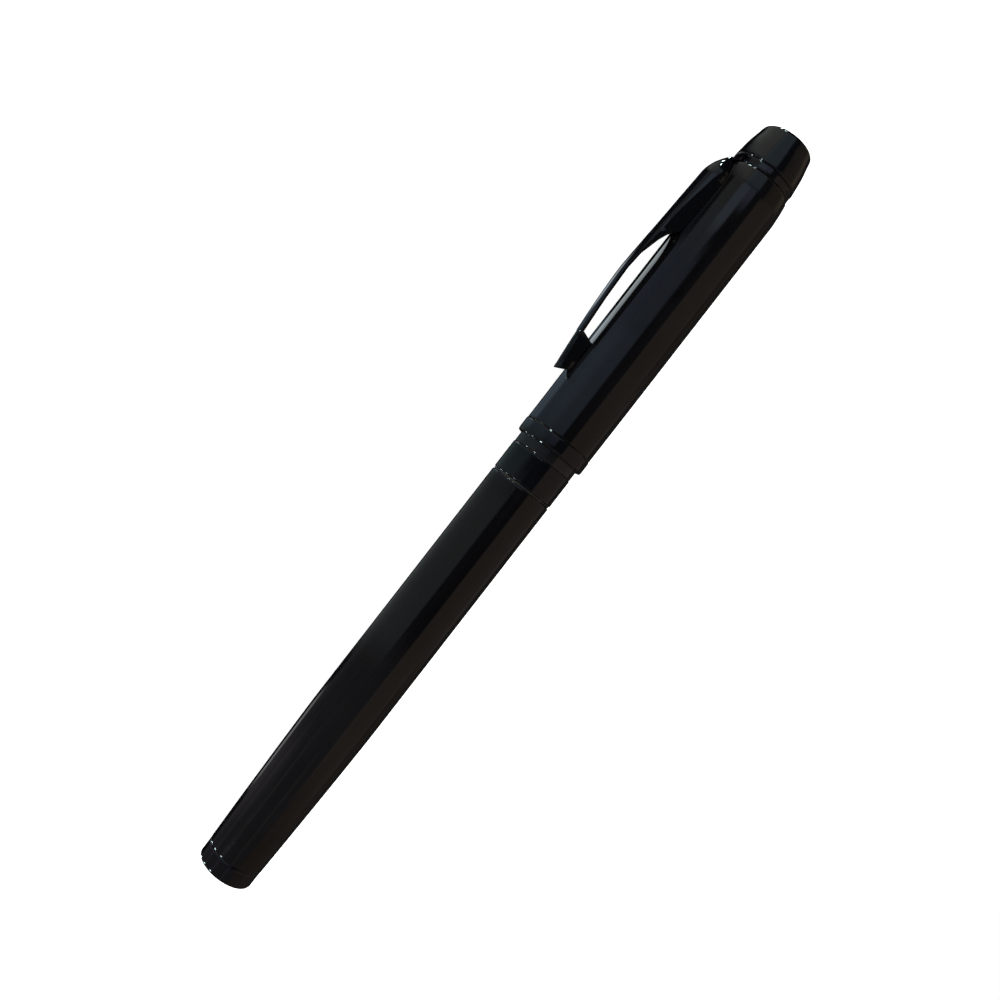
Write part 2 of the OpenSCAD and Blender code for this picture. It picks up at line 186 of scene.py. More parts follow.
def held(outline: Sequence[Corner], closed: bool) -> list[Corner]:
    """Adds plain corners beside the rounded ones, so that long walls shade evenly.

    Args:
        outline: Corners in order round the section.
        closed: True if the last corner joins the first.

    Returns:
        The outline with its holding corners.
    """
    result: list[Corner] = []
    count = len(outline)
    for i, corner in enumerate(outline):
        before = outline[i - 1] if i or closed else None
        after = outline[(i + 1) % count] if i + 1 < count or closed else None
        for side, place in ((before, 0), (after, 1)):
            if place == 1:
                result.append(corner)
            if side is None or not corner.edge:
                continue
            gap = math.dist((corner.x, corner.r), (side.x, side.r))
            reach = HOLD * corner.edge
            if gap > reach + HOLD * side.edge + 0.01:
                result.append(corner.towards(side, reach))
    return result


def ring_edges(bm: BMesh, corner: Corner) -> list[BMEdge]:
    """The edges of the full ring that a corner has been turned into."""
    def on_ring(vert: BMVert) -> bool:
        return (abs(vert.co.x - corner.x) < WELD
                and abs(math.hypot(vert.co.y, vert.co.z) - corner.r) < WELD)
    return [e for e in bm.edges if on_ring(e.verts[0]) and on_ring(e.verts[1])]


def turned(outline: Sequence[Corner], closed: bool = False,
           sweep: float = 360.0, start: float = 0.0) -> BMesh:
    """Turns an outline round the pen's axis and rounds its marked corners.

    Args:
        outline: Corners in order; an open outline starts and ends on the axis.
        closed: True for a ring, whose section doesn't touch the axis.
        sweep: Degrees that the outline is carried round.
        start: Degrees from the clip's side at which the sweep starts.

    Returns:
        The finished mesh, with outward faces and the rim attribute.
    """
    bm = bmesh.new()
    corners = held(outline, closed)
    verts = [bm.verts.new((c.x, c.r, 0)) for c in corners]
    pairs = list(zip(verts, verts[1:])) + ([(verts[-1], verts[0])] if closed else [])
    edges = [bm.edges.new(pair) for pair in pairs]
    bmesh.ops.rotate(bm, verts=verts, cent=(0, 0, 0),
                     matrix=Matrix.Rotation(math.radians(start), 3, "X"))
    full = sweep >= 360
    bmesh.ops.spin(bm, geom=verts + edges, cent=(0, 0, 0), axis=(1, 0, 0),
                   angle=math.radians(sweep), steps=round(FACETS * sweep / 360),
                   use_merge=full, use_duplicate=False)
    bmesh.ops.remove_doubles(bm, verts=bm.verts, dist=WELD)
    if not full:
        bmesh.ops.holes_fill(bm, edges=[e for e in bm.edges if e.is_boundary])
    bmesh.ops.recalc_face_normals(bm, faces=bm.faces)
    rim = bm.verts.layers.float.new(RIM)
    for width in sorted({c.edge for c in outline if c.edge}):
        marked = [e for c in outline if c.edge == width for e in ring_edges(bm, c)]
        made = bmesh.ops.bevel(bm, geom=marked, offset=width, offset_type="OFFSET",
                               segments=BEVEL_STEPS, profile=0.5, affect="EDGES", material=-1)
        for vert in made["verts"]:
            vert[rim] = 1.0
    return bm


def wound(section: BMesh, sections: Sequence[tuple[float, float]]) -> BMesh:
    """Winds a flat closed section into a helix round the pen's axis.

    Args:
        section: A mesh of one face, which stands in the plane of X and Y.
        sections: Turns and pitch of each stretch of the helix, in order.

    Returns:
        The same mesh, wound and closed at both ends.
    """
    geom = section.verts[:] + section.edges[:] + section.faces[:]
    for turns, pitch in sections:
        steps = round(turns * COIL_FACETS)
        made = bmesh.ops.spin(section, geom=geom, cent=(0, 0, 0), axis=(1, 0, 0),
                              dvec=(pitch * turns / steps, 0, 0), steps=steps,
                              angle=math.radians(360 * turns), use_duplicate=False)
        geom = made["geom_last"]
    bmesh.ops.recalc_face_normals(section, faces=section.faces)
    section.verts.layers.float.new(RIM)
    return section


def joined(parts: Iterable[BMesh]) -> BMesh:
    """Puts several closed meshes of one piece together."""
    parts = list(parts)
    first = parts[0]
    for part in parts[1:]:
        spare = bpy.data.meshes.new("spare")
        part.to_mesh(spare)
        part.free()
        first.from_mesh(spare)
        bpy.data.meshes.remove(spare)
    return first


def thread(start: float, end: float, root: float, crest: float, pitch: float) -> BMesh:
    """A screw thread's ridge between two stations.

    Args:
        start: Station where the ridge begins.
        end: Station where it stops.
        root: Radius of its foot, inside the wall that it stands on.
        crest: Radius of its top; below the root for an inner thread.
        pitch: Advance in one turn.

    Returns:
        The wound ridge.
    """
    bm = bmesh.new()
    low, high = pitch * 0.42, pitch * 0.1
    verts = [bm.verts.new((start + pitch / 2 + x, r, 0)) for x, r in
             ((-low, root), (-high, crest), (high, crest), (low, root))]
    bm.faces.new(verts)
    turns = (end - start - pitch) / pitch
    return wound(bm, [(round(turns * COIL_FACETS) / COIL_FACETS, pitch)])


# ---- Shader groups ---------------------------------------------------------


class Sketch:
    """Adds and wires nodes in one node tree."""

    def __init__(self, tree: bpy.types.NodeTree) -> None:
        """Takes the tree to work in."""
        self.tree = tree

    def add(self, kind: str, inputs: dict | None = None, **settings: object) -> bpy.types.Node:
        """Adds a node.

        Args:
            kind: Type of the node.
            inputs: Socket names or numbers, each with a value or an output to link.
            settings: Attributes of the node.

        Returns:
            The new node.
        """
        node = self.tree.nodes.new(kind)
        for name, value in settings.items():
            setattr(node, name, value)
        for name, value in (inputs or {}).items():
            if isinstance(value, bpy.types.NodeSocket):
                self.tree.links.new(value, node.inputs[name])
            else:
                node.inputs[name].default_value = value
        return node

    def math(self, operation: str, *values: object) -> bpy.types.NodeSocket:
        """Adds a Math node on up to three values and gives its output."""
        return self.add("ShaderNodeMath", dict(enumerate(values)), operation=operation).outputs[0]

    def vector(self, operation: str, *values: object) -> bpy.types.Node:
        """Adds a Vector Math node on up to two vectors."""
        return self.add("ShaderNodeVectorMath", dict(enumerate(values)), operation=operation)

    def step(self, value: object, low: float | bpy.types.NodeSocket,
             high: float | bpy.types.NodeSocket) -> bpy.types.NodeSocket:
        """A smooth step from 0 at low to 1 at high."""
        node = self.add("ShaderNodeMapRange", {0: value, 1: low, 2: high},
                        interpolation_type="SMOOTHSTEP")
        return node.outputs[0]

    def blend(self, factor: object, first: object, second: object) -> bpy.types.NodeSocket:
        """Mixes two colours."""
        node = self.add("ShaderNodeMix", {0: factor, 6: first, 7: second}, data_type="RGBA")
        return node.outputs[2]

    def noise(self, vector: object, scale: float, detail: float = 2.0,
              rough: float = 0.5) -> bpy.types.NodeSocket:
        """A noise value over scaled coordinates."""
        return self.add("ShaderNodeTexNoise", {"Vector": vector, "Scale": scale, "Detail": detail,
                                               "Roughness": rough}).outputs[0]


@dataclass(frozen=True)
class GroupSpec:
    """A shader group: its name, its inputs with their usual values and its outputs."""

    name: str
    inputs: dict[str, float]
    outputs: tuple[str, ...]
    draw: Callable[[Sketch, dict, bpy.types.NodeSocket], dict]

    def build(self) -> bpy.types.NodeTree:
        """Builds the group once, and gives the same one after that."""
        made = bpy.data.node_groups.get(self.name)
        if made:
            return made
        tree = bpy.data.node_groups.new(self.name, "ShaderNodeTree")
        for name, value in self.inputs.items():
            socket = tree.interface.new_socket(name, in_out="INPUT", socket_type="NodeSocketFloat")
            socket.default_value = value
        for name in self.outputs:
            tree.interface.new_socket(name, in_out="OUTPUT", socket_type="NodeSocketFloat")
        sketch = Sketch(tree)
        given = sketch.add("NodeGroupInput")
        place = sketch.add("ShaderNodeTexCoord").outputs["Object"]
        values = self.draw(sketch, {n: given.outputs[n] for n in self.inputs}, place)
        sketch.add("NodeGroupOutput", values)
        return tree

    def use(self, sketch: Sketch, **values: float) -> bpy.types.Node:
        """Places the group in a material with its own values.

        Args:
            sketch: The material's sketch.
            values: Values of inputs, with underscores for spaces.

        Returns:
            The group node.
        """
        node = sketch.add("ShaderNodeGroup", node_tree=self.build())
        for name, value in values.items():
            node.inputs[name.replace("_", " ")].default_value = value
        return node


# Each function below takes a group's sketch, its inputs by name and the piece's own
# coordinates, and gives the group's outputs by name.


def draw_peel(s: Sketch, given: dict, place: bpy.types.NodeSocket) -> dict:
    """The slow ripple of sprayed lacquer, with a finer one on it."""
    scaled = s.add("ShaderNodeVectorMath", {0: place, "Scale": given["Scale"]},
                   operation="SCALE").outputs[0]
    wide = s.noise(scaled, 1.0, 1.0)
    fine = s.noise(scaled, 4.3, 2.0)
    return {"Height": s.math("MULTIPLY_ADD", fine, 0.22, wide)}


def draw_specks(s: Sketch, given: dict, place: bpy.types.NodeSocket) -> dict:
    """Sparse dust: round specks and a few short fibres of lint."""
    cells = s.add("ShaderNodeTexVoronoi", {"Vector": place, "Scale": given["Cells"],
                                           "Randomness": 1.0}, feature="F1")
    size_pick = s.add("ShaderNodeSeparateColor", {0: cells.outputs["Color"]}).outputs[0]
    size = s.math("MULTIPLY", size_pick, given["Size"])
    faded = s.step(cells.outputs["Distance"], s.math("MULTIPLY", size, 0.6), size)
    dot = s.math("SUBTRACT", 1.0, faded)
    chosen = s.math("GREATER_THAN", s.add("ShaderNodeSeparateColor",
                                          {0: cells.outputs["Color"]}).outputs[2],
                    s.math("SUBTRACT", 1.0, given["Share"]))
    patch = s.step(s.noise(place, 170.0, 3.0), 0.42, 0.62)
    return {"Mask": s.math("MULTIPLY", s.math("MULTIPLY", dot, chosen), patch)}


def draw_hairlines(s: Sketch, given: dict, place: bpy.types.NodeSocket) -> dict:
    """Fine polishing lines: most run along the pen and some run round it."""
    masks = []
    lays = (((0.035, 1.0, 1.0), 5200.0, 1.0), ((1.0, 0.06, 0.06), 3600.0, 0.5))
    for stretch, scale, share in lays:
        laid = s.add("ShaderNodeMapping", {"Vector": place, "Scale": stretch}).outputs[0]
        line = s.noise(laid, scale, 1.0)
        near = s.math("ABSOLUTE", s.math("SUBTRACT", line, 0.5))
        thin = s.math("SUBTRACT", 1.0, s.step(near, 0.0, given["Width"]))
        broken = s.step(s.noise(place, 260.0 * share, 2.0), 0.5, 0.7)
        masks.append(s.math("MULTIPLY", s.math("MULTIPLY", thin, broken), share))
    return {"Mask": s.math("MAXIMUM", *masks)}


def draw_film(s: Sketch, given: dict, place: bpy.types.NodeSocket) -> dict:
    """The film that fingers and cloths leave: soft lengthwise streaks and dabs."""
    laid = s.add("ShaderNodeMapping", {"Vector": place, "Scale": (0.07, 1.0, 1.0)}).outputs[0]
    streak = s.step(s.noise(laid, 620.0, 3.0, 0.6), 0.38, 0.72)
    dab = s.step(s.noise(place, 95.0, 4.0, 0.62), 0.45, 0.68)
    mixed = s.math("MULTIPLY_ADD", streak, given["Streaks"], s.math("MULTIPLY", dab, given["Dabs"]))
    return {"Mask": s.math("MINIMUM", mixed, 1.0)}


def draw_turning(s: Sketch, given: dict, place: bpy.types.NodeSocket) -> dict:
    """Tool marks that run round a turned piece, uneven in depth."""
    along = s.add("ShaderNodeSeparateXYZ", {0: place}).outputs[0]
    line = s.add("ShaderNodeCombineXYZ", {0: along, 1: 0.0, 2: 0.0}).outputs[0]
    marks = s.add("ShaderNodeTexNoise", {"Vector": line, "Scale": given["Per metre"], "Detail": 3.0,
                                         "Roughness": 0.7}).outputs[0]
    slow = s.noise(place, 310.0, 2.0)
    return {"Height": s.math("MULTIPLY", marks, s.math("ADD", slow, 0.5)),
            "Mask": s.step(marks, 0.42, 0.62)}


def draw_edge_highlight_and_rub(s: Sketch, given: dict, place: bpy.types.NodeSocket) -> dict:
    """A mask on rounded rims, broken up by a fine noise, which the finishes use for a painted edge
    highlight, for rubbing and for ink.
    """
    rim = s.add("ShaderNodeAttribute", attribute_name=RIM, attribute_type="GEOMETRY").outputs["Fac"]
    patch = s.step(s.noise(place, 1400.0, 3.0, 0.65), 0.36, 0.66)
    kept = s.math("ADD", s.math("MULTIPLY", patch, 0.75), 0.25)
    return {"Mask": s.math("MULTIPLY", s.math("MULTIPLY", rim, kept), given["Amount"])}


def draw_fibre(s: Sketch, given: dict, place: bpy.types.NodeSocket) -> dict:
    """Bundled fibres along the pen, thick and thin."""
    laid = s.add("ShaderNodeMapping", {"Vector": place, "Scale": (0.05, 1.0, 1.0)}).outputs[0]
    thick = s.noise(laid, given["Per metre"], 2.0, 0.6)
    thin = s.noise(laid, s.math("MULTIPLY", given["Per metre"], 3.1), 2.0, 0.7)
    height = s.math("MULTIPLY_ADD", thin, 0.45, thick)
    return {"Height": height, "Mask": s.step(height, 0.55, 0.92)}


def draw_grain(s: Sketch, given: dict, place: bpy.types.NodeSocket) -> dict:
    """The matt grain of a mould's face, with flow marks along the piece."""
    fine = s.noise(place, given["Per metre"], 3.0, 0.6)
    laid = s.add("ShaderNodeMapping", {"Vector": place, "Scale": (0.15, 1.0, 1.0)}).outputs[0]
    flow = s.noise(laid, 420.0, 2.0)
    return {"Height": s.math("MULTIPLY_ADD", flow, 0.4, fine), "Mask": s.step(flow, 0.35, 0.7)}


PEEL = GroupSpec("lacquer_ripple", {"Scale": 420.0}, ("Height",), draw_peel)
SPECKS = GroupSpec("dust_specks", {"Cells": 900.0, "Size": 0.1, "Share": 0.2}, ("Mask",),
                   draw_specks)
HAIRLINES = GroupSpec("polishing_lines", {"Width": 0.012}, ("Mask",), draw_hairlines)
FILM = GroupSpec("handling_film", {"Streaks": 0.6, "Dabs": 0.4}, ("Mask",), draw_film)
TURNING = GroupSpec("turning_marks", {"Per metre": 9000.0}, ("Height", "Mask"), draw_turning)
# rim mask: painted edge highlight in the hard finishes, real rubbing in roughness, ink on fibre
EDGE_HIGHLIGHT_AND_RUB = GroupSpec("edge_highlight_and_rub_mask", {"Amount": 1.0}, ("Mask",), draw_edge_highlight_and_rub)
FIBRE = GroupSpec("fibre_bundle", {"Per metre": 6500.0}, ("Height", "Mask"), draw_fibre)
GRAIN = GroupSpec("mould_grain", {"Per metre": 5200.0}, ("Height", "Mask"), draw_grain)


# ---- Finishes --------------------------------------------------------------


@dataclass(frozen=True)
class Finish:
    """What every finish has: a name, a colour and a roughness."""

    name: str
    colour: Colour
    roughness: float

    def material(self) -> bpy.types.Material:
        """Makes the material and draws its nodes."""
        made = bpy.data.materials.new(self.name)
        made.use_nodes = True
        made.node_tree.nodes.clear()
        sketch = Sketch(made.node_tree)
        shader = sketch.add("ShaderNodeBsdfPrincipled")
        sketch.add("ShaderNodeOutputMaterial", {"Surface": shader.outputs[0]})
        shader.inputs["Base Color"].default_value = (*self.colour, 1)
        shader.inputs["Roughness"].default_value = self.roughness
        made.diffuse_color = (*self.colour, 1)
        made.roughness = self.roughness
        self.draw(sketch, shader)
        return made

    def draw(self, s: Sketch, shader: bpy.types.Node) -> None:
        """Draws what is special to the finish."""
        raise NotImplementedError

    @staticmethod
    def bump(s: Sketch, shader: bpy.types.Node, layers: Sequence[tuple[object, float]]) -> None:
        """Stacks heights on the shader's normal.

        Args:
            s: The material's sketch.
            shader: The Principled shader.
            layers: Heights, each with its full depth in mm.
        """
        normal = None
        for height, depth in layers:
            inputs = {"Height": height, "Distance": depth * MM, "Strength": 1.0}
            if normal is not None:
                inputs["Normal"] = normal
            normal = s.add("ShaderNodeBump", inputs).outputs[0]
        s.tree.links.new(normal, shader.inputs["Normal"])


@dataclass(frozen=True)
class Lacquer(Finish):
    """Gloss black lacquer or plating, with dust, polishing lines, and rims lightened as a painted
    edge highlight and made rougher where rubbed.
    """

    # paler grey painted on the rims as an edge highlight
    edge_highlight_colour: Colour = (0.014, 0.013, 0.012)
    # strength of the rim mask: painted edge highlight and rougher rubbed rims
    highlight_and_rub: float = 0.15
    dust: float = 0.12
    ripple: float = 0.0007
    streaks: float = 0.6

    def draw(self, s: Sketch, shader: bpy.types.Node) -> None:
        """Draws ripple, film, lines, specks, and on the rims a painted edge highlight with rubbed
        roughness.
        """
        peel = PEEL.use(s).outputs["Height"]
        dust = SPECKS.use(s, Cells=900.0, Size=0.1, Share=0.07).outputs[0]
        lines = HAIRLINES.use(s).outputs[0]
        film = FILM.use(s, Streaks=self.streaks, Dabs=0.35).outputs[0]
        rim = EDGE_HIGHLIGHT_AND_RUB.use(s, Amount=self.highlight_and_rub).outputs[0]
        tint = s.blend(s.math("MULTIPLY", film, 0.5), (*self.colour, 1),
                       (*(c * 1.9 + 0.0012 for c in self.colour), 1))
        # painted edge highlight: the rims are lightened; the roughness below adds real rubbing
        tint = s.blend(rim, tint, (*self.edge_highlight_colour, 1))
        tint = s.blend(s.math("MULTIPLY", dust, self.dust), tint, (0.2, 0.19, 0.18, 1))
        rough = s.math("MULTIPLY_ADD", film, 0.045, self.roughness)
        rough = s.math("MULTIPLY_ADD", lines, 0.09, rough)
        rough = s.math("MULTIPLY_ADD", rim, 0.08, rough)
        rough = s.math("MULTIPLY_ADD", dust, 0.25, rough)
        s.tree.links.new(tint, shader.inputs["Base Color"])
        s.tree.links.new(rough, shader.inputs["Roughness"])
        shader.inputs["IOR"].default_value = 1.52
        self.bump(s, shader, [(peel, self.ripple), (lines, -0.0004), (dust, 0.001)])


@dataclass(frozen=True)
class TurnedMetal(Finish):
    """Bare turned or drawn metal with tool marks and a light tarnish."""

    tarnish: Colour = (0.3, 0.2, 0.1)
    marks: float = 0.004
    per_metre: float = 9000.0

    def draw(self, s: Sketch, shader: bpy.types.Node) -> None:
        """Draws tool marks, tarnish, and rims brightened as a painted edge highlight."""
        marks = TURNING.use(s, Per_metre=self.per_metre)
        film = FILM.use(s, Streaks=0.25, Dabs=0.8).outputs[0]
        rim = EDGE_HIGHLIGHT_AND_RUB.use(s, Amount=0.8).outputs[0]
        tint = s.blend(s.math("MULTIPLY", film, 0.45), (*self.colour, 1), (*self.tarnish, 1))
        # painted edge highlight: the rims are brightened
        tint = s.blend(s.math("MULTIPLY", rim, 0.6), tint,
                       (*(min(1.0, c * 1.2) for c in self.colour), 1))
        rough = s.math("MULTIPLY_ADD", marks.outputs["Mask"], 0.1, self.roughness)
        rough = s.math("MULTIPLY_ADD", film, 0.14, rough)
        s.tree.links.new(tint, shader.inputs["Base Color"])
        s.tree.links.new(rough, shader.inputs["Roughness"])
        shader.inputs["Metallic"].default_value = 1.0
        self.bump(s, shader, [(marks.outputs["Height"], self.marks)])


@dataclass(frozen=True)
class Moulded(Finish):
    """Moulded plastic or rubber: grain, flow marks, handling film and dust."""

    grain: float = 0.004
    per_metre: float = 5200.0
    stain: Colour | None = None
    glow: float = 0.0
    dust: float = 0.3

    def draw(self, s: Sketch, shader: bpy.types.Node) -> None:
        """Draws grain, flow marks, stain and dust, and rims lightened as a painted edge highlight.
        """
        grain = GRAIN.use(s, Per_metre=self.per_metre)
        film = FILM.use(s, Streaks=0.2, Dabs=0.7).outputs[0]
        dust = SPECKS.use(s, Cells=1200.0, Size=0.16, Share=0.2).outputs[0]
        rim = EDGE_HIGHLIGHT_AND_RUB.use(s, Amount=0.5).outputs[0]
        stain = self.stain or tuple(c * 0.72 for c in self.colour)
        stained = s.math("MULTIPLY", grain.outputs["Mask"], 0.35)
        tint = s.blend(stained, (*self.colour, 1), (*stain, 1))
        # painted edge highlight: the rims are lightened; below they are also made glossier as if
        # rubbed
        tint = s.blend(s.math("MULTIPLY", rim, 0.4), tint,
                       (*(min(1.0, c * 1.5 + 0.01) for c in self.colour), 1))
        tint = s.blend(s.math("MULTIPLY", dust, self.dust), tint, (0.35, 0.33, 0.3, 1))
        rough = s.math("MULTIPLY_ADD", film, 0.12, self.roughness)
        rough = s.math("MULTIPLY_ADD", rim, -0.08, rough)
        s.tree.links.new(tint, shader.inputs["Base Color"])
        s.tree.links.new(rough, shader.inputs["Roughness"])
        if self.glow:
            shader.inputs["Subsurface Weight"].default_value = self.glow
            shader.inputs["Subsurface Radius"].default_value = (1.0, 0.8, 0.6)
            shader.inputs["Subsurface Scale"].default_value = 0.0008
        self.bump(s, shader, [(grain.outputs["Height"], self.grain), (dust, 0.005)])


@dataclass(frozen=True)
class InkedFibre(Finish):
    """Pressed or bundled fibre that the detector ink has stained."""

    ink: Colour = (0.16, 0.07, 0.015)
    per_metre: float = 6500.0
    depth: float = 0.03

    def draw(self, s: Sketch, shader: bpy.types.Node) -> None:
        """Draws fibres and the ink between them."""
        fibre = FIBRE.use(s, Per_metre=self.per_metre)
        film = FILM.use(s, Streaks=0.5, Dabs=0.7).outputs[0]
        rim = EDGE_HIGHLIGHT_AND_RUB.use(s, Amount=0.9).outputs[0]
        tint = s.blend(fibre.outputs["Mask"], (*self.ink, 1), (*self.colour, 1))
        tint = s.blend(s.math("MULTIPLY", film, 0.5), tint, (*(c * 0.6 for c in self.colour), 1))
        tint = s.blend(s.math("MULTIPLY", rim, 0.5), tint, (*self.ink, 1))
        rough = s.math("MULTIPLY_ADD", film, -0.2, self.roughness)
        s.tree.links.new(tint, shader.inputs["Base Color"])
        s.tree.links.new(rough, shader.inputs["Roughness"])
        shader.inputs["Sheen Weight"].default_value = 0.25
        self.bump(s, shader, [(fibre.outputs["Height"], self.depth)])


FINISHES: dict[Slot, Finish] = {
    Slot.LACQUER: Lacquer("gloss_black_lacquer", (0.0022, 0.0022, 0.0026), 0.05),
    Slot.TRIM: Lacquer("gloss_black_trim", (0.0020, 0.0022, 0.0030), 0.06,
                       ripple=0.0005, streaks=0.3, highlight_and_rub=0.08, dust=0.05),
    Slot.BRASS: TurnedMetal("turned_brass", (0.72, 0.50, 0.21), 0.2, tarnish=(0.32, 0.19, 0.08)),
    Slot.STEEL: TurnedMetal("drawn_spring_steel", (0.56, 0.57, 0.59), 0.22,
                            tarnish=(0.27, 0.26, 0.25), marks=0.002),
    Slot.RUBBER: Moulded("seal_rubber", (0.016, 0.016, 0.017), 0.55, grain=0.006),
    Slot.GRIP: Moulded("gloss_grip_plastic", (0.006, 0.006, 0.0066), 0.1, grain=0.0006, dust=0.05),
    Slot.LINER: Moulded("dark_liner_plastic", (0.045, 0.045, 0.049), 0.45, grain=0.005),
    Slot.REFILL: Moulded("natural_refill_plastic", (0.80, 0.79, 0.75), 0.28, grain=0.002,
                         stain=(0.80, 0.70, 0.50), glow=0.25),
    Slot.WICK: InkedFibre("inked_wick_fibre", (0.42, 0.24, 0.08), 0.85),
    Slot.NIB: InkedFibre("pressed_nib_fibre", (0.66, 0.46, 0.15), 0.62, ink=(0.34, 0.17, 0.035),
                         per_metre=11000.0, depth=0.012),
}


# ---- Workshop --------------------------------------------------------------


@dataclass
class Workshop:
    """Turns meshes in pen space into pieces of the model."""

    axis: PenAxis
    materials: dict[Slot, bpy.types.Material] = field(default_factory=dict)

    def paint(self, slot: Slot) -> bpy.types.Material:
        """The material of a slot, made at its first use."""
        if slot not in self.materials:
            self.materials[slot] = FINISHES[slot].material()
        return self.materials[slot]

    def place(self, bm: BMesh, node: str) -> bpy.types.Object:
        """Lays a mesh in the frame and makes it a piece.

        Args:
            bm: The mesh in pen space; it is freed.
            node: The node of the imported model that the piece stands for.

        Returns:
            The new object.
        """
        bmesh.ops.transform(bm, matrix=self.axis.matrix(), verts=bm.verts)
        for face in bm.faces:
            face.smooth = True
        for edge in bm.edges:
            edge.smooth = edge.calc_face_angle(0.0) < math.radians(SHARP)
        mesh = bpy.data.meshes.new(f"{node}_look")
        bm.to_mesh(mesh)
        bm.free()
        piece = bpy.data.objects.new(f"{node}_look", mesh)
        bpy.context.scene.collection.objects.link(piece)
        return piece

    def dress(self, piece: bpy.types.Object, node: str, body: Body, slot: Slot) -> None:
        """Gives a piece its material and its place in the model.

        Args:
            piece: The finished object.
            node: The node that it replaces.
            body: The body that it rides on.
            slot: The slot that its finish comes from.
        """
        piece.data.materials.append(self.paint(slot))
        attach(piece, body.value)
        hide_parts(node)
        LOG.info("%s rides on %s in %s: %d faces", piece.name, body.value, slot.value,
                 len(piece.data.polygons))


@dataclass
class Assembly:
    """A group of pieces that ride on one body."""

    shop: Workshop
    pieces: dict[str, bpy.types.Object] = field(default_factory=dict)

    body: ClassVar[Body]
    slots: ClassVar[dict[str, Slot]]

    def span(self, node: str) -> Span:
        """Where a node of this group lies."""
        return self.shop.axis.span(node)

    def keep(self, node: str, bm: BMesh) -> None:
        """Lays a finished mesh in the frame under its node's name."""
        self.pieces[node] = self.shop.place(bm, node)

    def build(self) -> None:
        """Makes the pieces of the group."""
        raise NotImplementedError

    def dress_all(self) -> None:
        """Paints every piece with its slot's finish."""
        for node, slot in self.slots.items():
            self.shop.dress(self.pieces[node], node, self.body, slot)


@dataclass
class Barrel(Assembly):
    """The barrel: tail plug, drawn tube, threaded bush and tail spring."""

    taper_len: float = 25.5
    taper_drop: float = 0.615
    wall: float = 0.4
    pocket_depth: float = 4.0
    pocket_r: float = 2.875
    pitch: float = 0.75
    wire_d: float = 0.45
    coil_turns: float = 8.0
    spring_travel: float = 0.8

    body = Body.BARREL
    slots = {"tail_plug": Slot.TRIM, "barrel_tube": Slot.LACQUER,
             "barrel_bush": Slot.BRASS, "tail_spring": Slot.STEEL}

    def build(self) -> None:
        """Turns and winds the pieces of the barrel."""
        self.keep("tail_plug", self.tail_plug())
        self.keep("barrel_tube", self.barrel_tube())
        self.keep("barrel_bush", self.barrel_bush())
        self.keep("tail_spring", self.tail_spring())

    def tail_plug(self) -> BMesh:
        """The plug: a flat end with a shallow turned recess, and a hollow spigot."""
        at, tube = self.span("tail_plug"), self.span("barrel_tube")
        x, seam = at.start, tube.start
        spigot_r = at.radius - self.wall - 0.02
        pocket = at.end - self.pocket_depth
        return turned([
            Corner(x + 0.12, 0), Corner(x + 0.12, 1.1, 0.05), Corner(x + 0.05, 1.25, 0.04),
            Corner(x + 0.05, at.radius - 1.0, 0.03), Corner(x, at.radius - 0.92, 0.05),
            Corner(x, at.radius - 0.2, 0.13),
            Corner(x + 0.26, at.radius - 0.03, 0.1), Corner(seam - 0.25, at.radius, 0.1),
            Corner(seam - 0.03, at.radius - 0.17, 0.03), Corner(seam - 0.03, spigot_r),
            Corner(at.end, spigot_r, 0.15), Corner(at.end, self.pocket_r, 0.1),
            Corner(pocket, self.pocket_r, 0.1), Corner(pocket, 0)])

    def radius_at(self, distance: float) -> float:
        """Radius of the tube at a distance from its tail end."""
        left = max(0.0, self.taper_len - distance) / self.taper_len
        drop = self.taper_drop * (0.685 * left + 0.315 * left ** 2)
        return self.span("barrel_tube").radius - drop

    def barrel_tube(self) -> BMesh:
        """The drawn tube with its slow taper to the tail and rounded mouth."""
        at = self.span("barrel_tube")
        taper = [(self.taper_len * i / 14) for i in range(1, 15)]
        outer = [Corner(at.start + d, self.radius_at(d)) for d in taper]
        inner = [Corner(c.x, c.r - self.wall) for c in reversed(outer)]
        tail_r = self.radius_at(0)
        straight = [Corner(at.start + self.taper_len + 14.6 * i, at.radius) for i in (1, 2)]
        return turned([
            Corner(at.start, tail_r, 0.06), *outer, *straight, Corner(at.end, at.radius, 0.14),
            Corner(at.end, at.radius - self.wall, 0.04), *inner,
            Corner(at.start, tail_r - self.wall, 0.04)], closed=True)

    def barrel_bush(self) -> BMesh:
        """The brass bush, with the screw thread that takes the section."""
        at = self.span("barrel_bush")
        crest = self.span("barrel_tube").radius - self.wall - 0.45
        wall = turned([
            Corner(at.start, at.radius, 0.1), Corner(at.end, at.radius, 0.1),
            Corner(at.end, crest + 0.22, 0.08), Corner(at.end - 0.2, crest + 0.2),
            Corner(at.start + 0.2, crest + 0.2), Corner(at.start, crest + 0.22, 0.08)], closed=True)
        ridge = thread(at.start + 0.2, at.end - 0.25, crest + 0.26, crest, self.pitch)
        return joined([wall, ridge])

    def tail_spring(self) -> BMesh:
        """The coil spring, with a closed turn at both ends."""
        at = self.span("tail_spring")
        wire = self.wire_d / 2
        bm = bmesh.new()
        bmesh.ops.create_circle(bm, cap_ends=True, segments=16, radius=wire)
        bmesh.ops.translate(bm, verts=bm.verts, vec=(at.start + wire, at.radius - wire, 0))
        dead = self.wire_d * 1.04
        live = (at.length - self.wire_d - 2 * dead) / (self.coil_turns - 2)
        return wound(bm, [(1.0, dead), (self.coil_turns - 2, live), (1.0, dead)])

    def dress_all(self) -> None:
        """Paints the pieces, and gives the spring a mesh of its own."""
        super().dress_all()
        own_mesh(self.pieces["tail_spring"])


